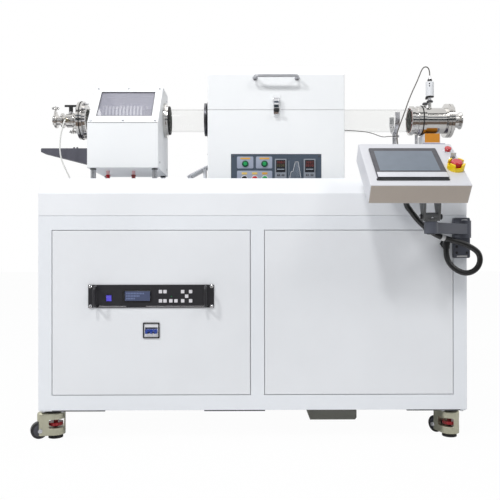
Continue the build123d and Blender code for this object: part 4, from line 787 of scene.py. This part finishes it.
# a plain up-and-down course of temperature, as (x, z)
course = (
    (0.15, 1.018), (0.159, 1.056), (0.166, 1.056),
    (0.176, 1.095), (0.188, 1.095), (0.1985, 1.03),
)
for (x0, z0), (x1, z1) in zip(course, course[1:]):
    run = Vector((x1 - x0, 0, z1 - z0))
    graph.block(
        ((x0 + x1) / 2, PANEL_Y - 0.0011, (z0 + z1) / 2), (0.0016, 0.0005, run.length + 0.001), 0,
        tuple(run), (0, 1, 0), 2,
    )
for k in range(9):
    x = 0.156 + k * 0.0048
    for (x0, z0), (x1, z1) in zip(course, course[1:]):
        if x0 <= x < x1:
            top = z0 + (z1 - z0) * (x - x0) / (x1 - x0)
            middle = (x, PANEL_Y - 0.0009, (axis_low + top) / 2)
            graph.block(middle, (0.0007, 0.0003, top - axis_low), 0, index=1)
graph.done("program_graph", [slate, line_pale, white_plastic], "cabinet")

for k, x in enumerate((0.1155, 0.234)):
    face = Shape()
    face.prism(rounded(0.0445, 0.0925, 0.002), (x, -0.055, 1.059), FRONT, 0.0009, bevel=0.0003)
    face.prism(rounded(0.0385, 0.051, 0.0015), (x, -0.0559, 1.077), FRONT, 0.0006, index=1)
    for row, (z, index) in enumerate(((1.0925, 2), (1.0795, 2 if k else 3))):
        for digit in range(4):
            cell = x - 0.0126 + digit * 0.0084
            for rise in (-0.0042, 0.0, 0.0042):
                face.block((cell, -0.0567, z + rise), (0.0048, 0.0004, 0.0013), 0, index=index)
            for dx in (-0.0023, 0.0023):
                if (digit + row) % 3 or dx > 0:
                    face.block((cell + dx, -0.0567, z), (0.0013, 0.0004, 0.0088), 0, index=index)
    face.block((x, -0.0568, 1.064), (0.03, 0.0005, 0.0022), 0.0002, index=4)
    for column in (-0.0095, 0.0095):
        for z in (1.0405, 1.0235):
            face.prism(
                rounded(0.0115, 0.008, 0.002), (x + column, -0.0559, z), FRONT, 0.0012, bevel=0.0004, index=5
            )
            face.turn([(0.0022, 0), (0.0018, 0.0004)], (x + column, -0.0571, z), FRONT, 12, 0)
    looks = [instrument_grey, window_dark, red_digit, olive_digit, line_pale, dark_steel]
    face.done(f"controller_face_{k + 1}", looks, "cabinet")

panel_screws = Shape()
for x in (-0.0785, 0.2735):
    for z in (0.985, 1.118):
        panel_screws.screw((x, PANEL_Y, z), FRONT, 0.0026)
panel_screws.done("panel_screws", [dark_steel, black_plastic], "cabinet")

# ------------------------------------------------------------------ furnace
furnace_screws = Shape()
for side, x in ((-1, furnace_left), (1, furnace_right)):
    for y in (-0.025, 0.355):
        for z in (1.000, 1.13):
            furnace_screws.screw((x, y, z), (side, 0, 0), 0.0034)
furnace_screws.done("furnace_side_screws", [steel, black_plastic], "cabinet")
# black strips on the furnace's back for its vent slots: painted shade of the openings
furnace_vent_shade = Shape()
for row in range(7):
    slot_place = (furnace_x, 0.379, 0.985 + row * 0.016)
    furnace_vent_shade.prism(rounded(0.3, 0.0065, 0.003), slot_place, BACK, 0.0006)
furnace_vent_shade.done("furnace_back_slot_shade", black_plastic, "cabinet")
lid_screws = Shape()
for x in (-0.16, 0.355):
    for y in (0.06, 0.3):
        lid_screws.screw((x, y, 1.495), UP, 0.0036)
lid_screws.done("lid_top_screws", [steel, black_plastic], "furnace_lid")
handle_screws = Shape()
for x in (0.0115, 0.1835):
    handle_screws.turn(
        [(0.0105, 0), (0.0105, 0.0014), (0.009, 0.0022)], (x, -0.05, 1.439), FRONT, 30
    )
handle_screws.done("handle_collars", satin, "furnace_lid")
latch_tip = Shape()
latch_tip.prism(
    rounded(0.022, 0.016, 0.004), (furnace_x, -0.074, 1.302), FRONT, 0.003, bevel=0.001
)
latch_tip.done("latch_grip", black_plastic, "latch")

# ------------------------------------------------------------------ coil box
SLOPE_UP = Vector((0, math.cos(box_lean), math.sin(box_lean)))
SLOPE_OUT = Vector((0, -math.sin(box_lean), math.cos(box_lean)))
# a dark strip along the seam where the hood's slope meets its front: painted shadow of the window cover's
# lower edge
hood_edge_shadow = Shape()
hood_edge_shadow.block((box_x, -0.0491, 1.2562), (0.286, 0.001, 0.0017), 0)
hood_edge_shadow.done("hood_seam_painted_shadow", dark_steel, "cabinet")
box_screws = Shape()
for rise in (0.012, 0.232):
    for x in (-0.132, 0, 0.132):
        box_screws.screw(slope_foot + Vector((x, 0, 0)) + SLOPE_UP * rise, tuple(SLOPE_OUT), 0.0036)
for side, x in ((-1, box_left), (1, box_right)):
    for y, z in ((0.0, 1.1), (0.24, 1.1), (0.24, 1.41)):
        box_screws.screw((x, y, z), (side, 0, 0), 0.0034)
box_screws.done("coil_box_screws", [zinc, black_plastic], "cabinet")
window_rim = Shape()
window_middle = 0.127  # up the slope
rim_sunk = SLOPE_OUT * -0.0008
for rise in (window_middle - 0.0822, window_middle + 0.0822):
    place = slope_foot + SLOPE_UP * rise + rim_sunk
    window_rim.block(place, (0.229, 0.0016, 0.0022), 0, tuple(SLOPE_OUT), tuple(SLOPE_UP))
for x in (-0.1142, 0.1142):
    place = slope_foot + Vector((x, 0, 0)) + SLOPE_UP * window_middle + rim_sunk
    window_rim.block(place, (0.0016, 0.165, 0.0022), 0, tuple(SLOPE_OUT), tuple(SLOPE_UP))
window_rim.done("window_gasket", grey_plastic, "cabinet")
feet = Shape()
for x in (-0.6585, -0.4045):
    for y in (-0.019, 0.248):
        feet.turn([(0.0125, 0), (0.0125, 0.005)], (x, y, 1.0668), UP, 28, 1)
        feet.turn([(0.0165, 0), (0.0165, 0.0016), (0.015, 0.0026)], (x, y, 0.9565), UP, 28, 0)
        for k in range(3):
            dx, dy = 0.0125 * math.cos(k * 2.1), 0.0125 * math.sin(k * 2.1)
            feet.screw((x + dx, y + dy, 0.959), UP, 0.0016, 0, 1)
feet.done("coil_box_feet", [zinc, black_plastic], "cabinet")
terminals = Shape()
for x, y, tint in ((-0.615, 0.06, 1), (-0.506, 0.06, 2)):
    terminals.turn(
        [(0.007, 0), (0.007, 0.016), (0.0055, 0.0165), (0.0055, 0.018)], (x, y, 1.072), DOWN, 24, 0
    )
    terminals.turn(
        [(0.01, 0), (0.01, 0.006), (0.0075, 0.0065), (0.0075, 0.012), (0.0095, 0.0125), (0.0095, 0.026)],
        (x, y, 1.055), DOWN, 24, tint,
    )
terminals.done("coil_terminals", [pink, red_gloss, brown_red], "cabinet")
deck_gland = Shape()
gland_place = (-0.371, 0.06, deck_z)
deck_gland.turn([(0.013, 0), (0.013, 0.006)], gland_place, UP, sides=6)
deck_gland.turn([(0.0095, 0.006), (0.0095, 0.07), (0.0075, 0.086)], gland_place, UP, 24)
deck_gland.done("deck_gland", black_plastic, "cabinet")

# ------------------------------------------------------------------ gas end
flange_bolts = Shape()
for k in range(8):
    a = math.pi / 4 * k + 0.2
    y, z = tube_y + 0.072 * math.cos(a), tube_z + 0.072 * math.sin(a)
    flange_bolts.bolt((-0.7605, y, z), AXIS_LEFT, 0.0052)
    flange_bolts.turn([(0.0026, 0), (0.0026, 0.017)], (-0.7365, y, z), AXIS_X, 14)
    flange_bolts.turn([(0.0052, 0), (0.0052, 0.0046)], (-0.7365, y, z), AXIS_X, sides=6)
flange_bolts.done("gas_flange_bolts", steel, "cabinet")
clamps = Shape()
for x in (-0.7875, -0.8355, -0.8655):
    clamps.turn(
        [(0.0285, -0.006), (0.0325, -0.0045), (0.033, 0.0), (0.0325, 0.0045), (0.0285, 0.006)],
        (x, tube_y, tube_z), AXIS_X, 40,
    )
for x, side in ((-0.7875, -1), (-0.8655, 1)):
    base = Vector((x, tube_y - 0.012, tube_z + side * 0.036))
    clamps.turn([(0.003, 0), (0.003, 0.024)], base, (0, 0, side), 14)
    clamps.turn([(0.0058, 0.008), (0.0062, 0.012), (0.005, 0.017)], base, (0, 0, side), 18)
    for wing in (-1, 1):
        clamps.block(
            base + Vector((wing * 0.0095, 0, side * 0.0165)), (0.012, 0.003, 0.01), 0.0012,
            (wing * 0.55, 0, side * 1.0), (0, 1, 0),
        )
clamps.done("gas_end_clamps", polished, "cabinet")
valve_trim = Shape()
valve_trim.turn([(0.011, 0), (0.011, 0.005), (0.0095, 0.006)], (-0.801, tube_y, 1.339), UP, sides=6)
valve_trim.turn(
    [(0.008, 0), (0.008, 0.008), (0.005, 0.009), (0.005, 0.018), (0.0058, 0.0185), (0.0042, 0.024)],
    (-0.808, 0.127, 1.302), FRONT, 20, 1,
)
valve_trim.done("valve_nuts", [steel, brass], "cabinet")

# ------------------------------------------------------------------ pump end
ring_trim = Shape()
for k in range(6):
    a = math.pi / 3 * k + 0.35
    y, z = tube_y + 0.0575 * math.cos(a), tube_z + 0.0575 * math.sin(a)
    ring_trim.bolt((ring_x, y, z), AXIS_LEFT, 0.004)
ring_trim.done("pump_ring_bolts", steel, "cabinet")
seal_face = Shape()
outline = []
SEAL_STEPS = 48
for k in range(SEAL_STEPS):
    a = 2 * math.pi * k / SEAL_STEPS
    outline.append((math.cos(a), math.sin(a)))
low, high = [], []
for radius, ring in ((0.0535, low), (0.0502, high)):
    for y, z in outline:
        ring.append(seal_face.mesh.verts.new((ring_x - 0.001, tube_y + radius * y, tube_z + radius * z)))
back = [seal_face.mesh.verts.new((ring_x, v.co.y, v.co.z)) for v in low]
inner = [seal_face.mesh.verts.new((ring_x, v.co.y, v.co.z)) for v in high]
for k in range(SEAL_STEPS):
    n = (k + 1) % SEAL_STEPS
    seal_face.mesh.faces.new((low[k], low[n], high[n], high[k]))
    seal_face.mesh.faces.new((back[k], back[n], low[n], low[k]))
    seal_face.mesh.faces.new((high[k], high[n], inner[n], inner[k]))
    seal_face.mesh.faces.new((inner[k], inner[n], back[n], back[k]))
seal_face.done("pump_ring_seal", inner_ring, "cabinet")
chamber_trim = Shape()
for x, radius, top in ((port_x, 0.0125, 1.387), (gauge_x, 0.014, 1.398)):
    chamber_trim.turn(
        [(radius * 0.8, -0.009), (radius, -0.007), (radius, -0.002), (radius * 0.8, 0.0)],
        (x, tube_y, top), UP, 26,
    )
chamber_trim.done("port_clamps", dark_steel, "cabinet")
plate_bolts = Shape()
for k in range(8):
    a = math.pi / 4 * k
    y, z = tube_y + 0.064 * math.cos(a), tube_z + 0.064 * math.sin(a)
    plate_bolts.bolt((0.884, y, z), AXIS_X, 0.005)
plate_bolts.done("end_plate_bolts", steel, "cabinet")
gauge_marks = Shape()
for z in (1.47, 1.46):
    gauge_marks.turn([(0.0028, 0), (0.0028, 0.001)], (0.786, tube_y - 0.0165, z), (-0.35, -1, 0), 16)
gauge_marks.turn(
    [(0.0178, 0), (0.018, 0.001), (0.018, 0.0025), (0.0178, 0.0035)], (gauge_x, tube_y, 1.413), UP, 36
)
gauge_marks.turn([(0.0105, 0), (0.0105, 0.008), (0.008, 0.012)], (gauge_x, tube_y, 1.4815), UP, 24)
gauge_marks.turn([(0.006, 0), (0.006, 0.009)], (0.776, tube_y - 0.006, 1.402), UP, 18)
gauge_marks.done("gauge_trim", black_plastic, "cabinet")

# the rim round the tube at the furnace's left side
rims = Shape()
rims.turn(
    [(0.053, 0), (0.072, 0), (0.072, 0.009), (0.058, 0.01), (0.058, 0.0238), (0.053, 0.0238)],
    (-0.2083, tube_y, tube_z + 0.004), AXIS_X, 48, hollow=True,
)
rims.done("tube_rim", dark_steel, "cabinet")
# a sloped plate on two legs, between the coil box and the furnace
tray = Shape()
lean = Vector((0.094, 0, 0.05)).normalized()
tray_up = Vector((-lean.z, 0, lean.x))
tray_place = Vector((-0.236, 0.14, 1.074))
tray.block(tray_place, (0.1, 0.13, 0.003), 0.0008, tuple(tray_up), BACK)
tray.block(tray_place + tray_up * 0.002, (0.086, 0.116, 0.002), 0.0006, tuple(tray_up), BACK, 1)
for x, top in ((-0.27, 1.053), (-0.206, 1.088)):
    tray.block((x, 0.14, (deck_z + top) / 2), (0.01, 0.09, top - deck_z), 0.001)
tray.done("sloped_plate", [white_plastic, violet_plate], "cabinet")
# the pale frame of the orange saddle, and the plate under it
saddle = Shape()
saddle.block((0.796, tube_y, 1.1972), (0.096, 0.104, 0.0034), 0.0008, index=1)
for x in (0.755, 0.823):
    saddle.block((x, tube_y, 1.22), (0.0026, 0.094, 0.044), 0.0008)
saddle.block((0.789, 0.1182, 1.2015), (0.066, 0.002, 0.004), 0.0006)
saddle.done("saddle_plates", [white_plastic, violet_plate], "cabinet")

# ------------------------------------------------------------------ console
screen = Shape()
display_face = console_place(0.1518, 0.156, 0.006)
chin = console_place(0.154, 0.06, 0.006)
slot_bar = console_place(0.1515, 0.036, 0.0)
screen.prism(rounded(0.2105, 0.138, 0.002), display_face, FACE_OUT, 0.0004, FACE_UP, 0)
screen.prism(rounded(0.242, 0.032, 0.002), chin, FACE_OUT, 0.0008, FACE_UP, 1, bevel=0.0003)
screen.prism(rounded(0.25, 0.012, 0.004), slot_bar, FACE_OUT, 0.003, FACE_UP, 2, bevel=0.0008)
screen.done("screen_face", [lcd_face, chin_grey, soft_black], "console")
console_trim = Shape()
button_place = console_place(0.319, 0.235, 0)
key_place = console_place(0.323, 0.18, 0)
console_trim.turn([(0.0155, 0), (0.0155, 0.002), (0.0138, 0.0034)], button_place, FACE_OUT, 32)
console_trim.turn([(0.013, 0), (0.013, 0.0016), (0.0112, 0.0026)], key_place, FACE_OUT, 32)
console_trim.done("console_collars", chrome, "console")
console_screws = Shape()
for right in (0.012, 0.333):
    for up in (0.012, 0.279):
        console_screws.screw(console_place(right, up, -0.074), tuple(-console_out), 0.003)
console_screws.done("console_back_screws", [dark_steel, black_plastic], "console")
mushroom = Shape()
mushroom_place = console_place(estop_right, estop_up, 0.019)
mushroom.turn([(0.0208, 0), (0.0214, 0.002), (0.0208, 0.004)], mushroom_place, FACE_OUT, 40)
mushroom.done("estop_rim", dark_red, "estop")

# ------------------------------------------------------------------ arm
band = Shape()
tie = (Vector(hose_points[6]) + Vector(hose_points[5])) / 2
along = (Vector(hose_points[6]) - Vector(hose_points[5])).normalized()
band.turn([(0.0112, -0.0075), (0.0122, -0.0065), (0.0122, 0.0065), (0.0112, 0.0075)], tie, tuple(along), 30)
band.done("hose_band", pale_grey, "cabinet")
bracket_trim = Shape()
bracket_trim.block((pivot_x, -0.2246, 0.7085), (0.04, 0.0014, 0.006), 0.0005)
for z in (0.722, 0.745):
    for x in (0.78, 0.82):
        bracket_trim.screw((x, -0.224, z), FRONT, 0.0034, 1)
bracket_trim.turn([(0.0105, 0), (0.0105, 0.003), (0.008, 0.0045)], (pivot_x, pivot_y, 0.8433), UP, 28)
bracket_trim.done("bracket_trim", [pale_grey, black_plastic], "cabinet")
head_screw = Shape()
for side in (-1, 1):
    pin_end = (head_x + side * 0.034, head_y, tilt_z)
    head_screw.turn([(0.01, 0), (0.01, 0.004), (0.0075, 0.0055)], pin_end, (side, 0, 0), 28)
    head_screw.turn([(0.0042, 0.0055), (0.0036, 0.007)], pin_end, (side, 0, 0), sides=6, index=1)
head_screw.turn([(0.0034, 0), (0.0034, 0.003), (0.0022, 0.004)], (head_x, -0.4192, 0.846), FRONT, 20, 1)
head_screw.done("tilt_screws", [black_plastic, chrome], "head")
arm_cap = Shape()
arm_cap.turn([(0.015, 0), (0.015, 0.0015), (0.012, 0.0028)], (head_x, head_y, 0.79), DOWN, 30)
arm_cap.done("arm_cap", black_plastic, "arm")

# ------------------------------------------------------------------ casters
# swivel axis, and the angle at which the wheel trails
trails = {
    "front_left": (-caster_x, caster_front, 205),
    "front_right": (caster_x, caster_front, 125),
    "back_left": (-caster_x, caster_back, 160),
    "back_right": (caster_x, caster_back, 60),
}
for corner, (x, y, angle) in trails.items():
    a = math.radians(angle)
    ahead = Vector((math.cos(a), math.sin(a), 0))
    side = Vector((-math.sin(a), math.cos(a), 0))
    hub = Vector((x, y, 0)) + ahead * 0.062 + Vector((0, 0, 0.0345))
    axle = Shape()
    for way in (-1, 1):
        cheek = hub + side * way * 0.0235
        outwards = tuple(side * way)
        axle.turn([(0.0085, 0), (0.0085, 0.0012), (0.007, 0.002)], cheek, outwards, 24)
        axle.turn([(0.0052, 0.002), (0.0048, 0.0052)], cheek, outwards, sides=6)
    axle.done(f"axle_bolts_{corner}", steel, f"caster_{corner}")
    hubs = Shape()
    for way in (-1, 1):
        hubs.turn(
            [(0.0235, 0), (0.0225, 0.0006), (0.013, 0.0007), (0.012, 0.0012), (0.006, 0.0012)],
            hub + side * way * 0.0119, tuple(side * way), 36,
        )
    hubs.done(f"wheel_caps_{corner}", grey_plastic, f"wheel_{corner}")
    nut = Shape()
    nut.turn([(0.013, 0), (0.013, 0.0021), (0.0112, 0.0029)], (x, y, 0.0135), UP, sides=6)
    nut.done(f"foot_nut_{corner}", steel, f"foot_{corner}")

# ------------------------------------------------------------------ stage and light
bpy.ops.mesh.primitive_plane_add(size=40, location=(0, 0, 0))
floor = bpy.context.object
floor.name = "floor"
# the floor keeps the object's shadow, and is near white where the camera sees it
f = Nodes("floor_white")
f.set(Roughness=0.6, Specular_IOR_Level=0.2)
f.feed("Base Color", f.ramp(f.noise(3, 2), (0.9, 0.9, 0.9), (0.93, 0.93, 0.93)))
glare = f.add("ShaderNodeEmission")
glare.inputs["Color"].default_value = (1, 1, 1, 1)
path = f.add("ShaderNodeLightPath")
seen = f.add("ShaderNodeMath", operation="MAXIMUM")
f.link(path.outputs["Is Camera Ray"], seen.inputs[0])
f.link(path.outputs["Is Transmission Ray"], seen.inputs[1])
share = f.add("ShaderNodeMath", operation="MULTIPLY")
f.link(seen.outputs[0], share.inputs[0])
share.inputs[1].default_value = 0.97
blend = f.add("ShaderNodeMixShader")
f.link(share.outputs[0], blend.inputs["Fac"])
f.link(f.shader.outputs[0], blend.inputs[1])
f.link(glare.outputs[0], blend.inputs[2])
f.link(blend.outputs[0], f.tree.nodes["Material Output"].inputs["Surface"])
floor.data.materials.append(f.material)

world = bpy.data.worlds.new("studio")
bpy.context.scene.world = world
world.use_nodes = True
tree = world.node_tree
background = tree.nodes["Background"]
background.inputs["Color"].default_value = (0.94, 0.96, 1.0, 1)
background.inputs["Strength"].default_value = 0.33
plain = tree.nodes.new("ShaderNodeBackground")
plain.inputs["Color"].default_value = (1, 1, 1, 1)
plain.inputs["Strength"].default_value = 1.0
path = tree.nodes.new("ShaderNodeLightPath")


def either(a, b):
    node = tree.nodes.new("ShaderNodeMath")
    node.operation = "MAXIMUM"
    tree.links.new(a, node.inputs[0])
    tree.links.new(b, node.inputs[1])
    return node.outputs[0]


# plain white in the picture, in reflections and through glass
glossy = either(path.outputs["Is Camera Ray"], path.outputs["Is Glossy Ray"])
clear = either(glossy, path.outputs["Is Transmission Ray"])
both = tree.nodes.new("ShaderNodeMixShader")
tree.links.new(clear, both.inputs["Fac"])
tree.links.new(background.outputs[0], both.inputs[1])
tree.links.new(plain.outputs[0], both.inputs[2])
tree.links.new(both.outputs[0], tree.nodes["World Output"].inputs["Surface"])


def area_light(name, place, aim, size, power, colour=(1, 1, 1)):
    lamp = bpy.data.lights.new(name, "AREA")
    lamp.shape = "DISK"
    lamp.size = size
    lamp.energy = power
    lamp.color = colour
    holder = bpy.data.objects.new(name, lamp)
    bpy.context.scene.collection.objects.link(holder)
    holder.location = place
    holder.rotation_euler = (Vector(aim) - Vector(place)).to_track_quat("-Z", "Y").to_euler()


area_light("key", (-1.0, -3.5, 5.1), (0, 0, 0.8), 0.7, 84)
area_light("side", (-4.2, -3.4, 5.0), (0, 0, 0.8), 0.9, 150)
area_light("top", (0, 0.6, 4.6), (0, 0.1, 0.9), 2.6, 26)
area_light("right", (3.2, -3.3, 4.6), (-0.2, 0, 1.0), 1.6, 44, (1, 0.99, 0.97))


def card(name, corners, colour):
    """A sheet outside the picture, seen only in the reflections of bright metal."""
    mesh = bpy.data.meshes.new(name)
    mesh.from_pydata(corners, [], [(0, 1, 2, 3)])
    n = Nodes(name)
    tone = n.ramp(n.noise(0.8, 2), tinted(colour, 0.85), tinted(colour, 1.1))
    n.feed("Base Color", tone)
    n.set(Roughness=0.9)
    mesh.materials.append(n.material)
    sheet = bpy.data.objects.new(name, mesh)
    bpy.context.scene.collection.objects.link(sheet)
    sheet.visible_camera = False
    sheet.visible_diffuse = False
    sheet.visible_shadow = False
    sheet.visible_transmission = False


def wide_card(name, low, high, colour, y0=-6.0, y1=-6.0):
    """A card behind the camera from height low to height high."""
    card(name, [(-9, y0, low), (9, y0, low), (9, y1, high), (-9, y1, high)], colour)


wide_card("card_slate", 0.55, 2.0, (0.045, 0.06, 0.075))
wide_card("card_blue", 2.9, 4.1, (0.2, 0.24, 0.3))
wide_card("card_grey", 7.0, 11.5, (0.22, 0.22, 0.23))
wide_card("card_brown", 0.06, 0.07, (0.2, 0.15, 0.12), y0=-1.15, y1=-3.6)

bpy.context.scene.view_settings.view_transform = "Standard"
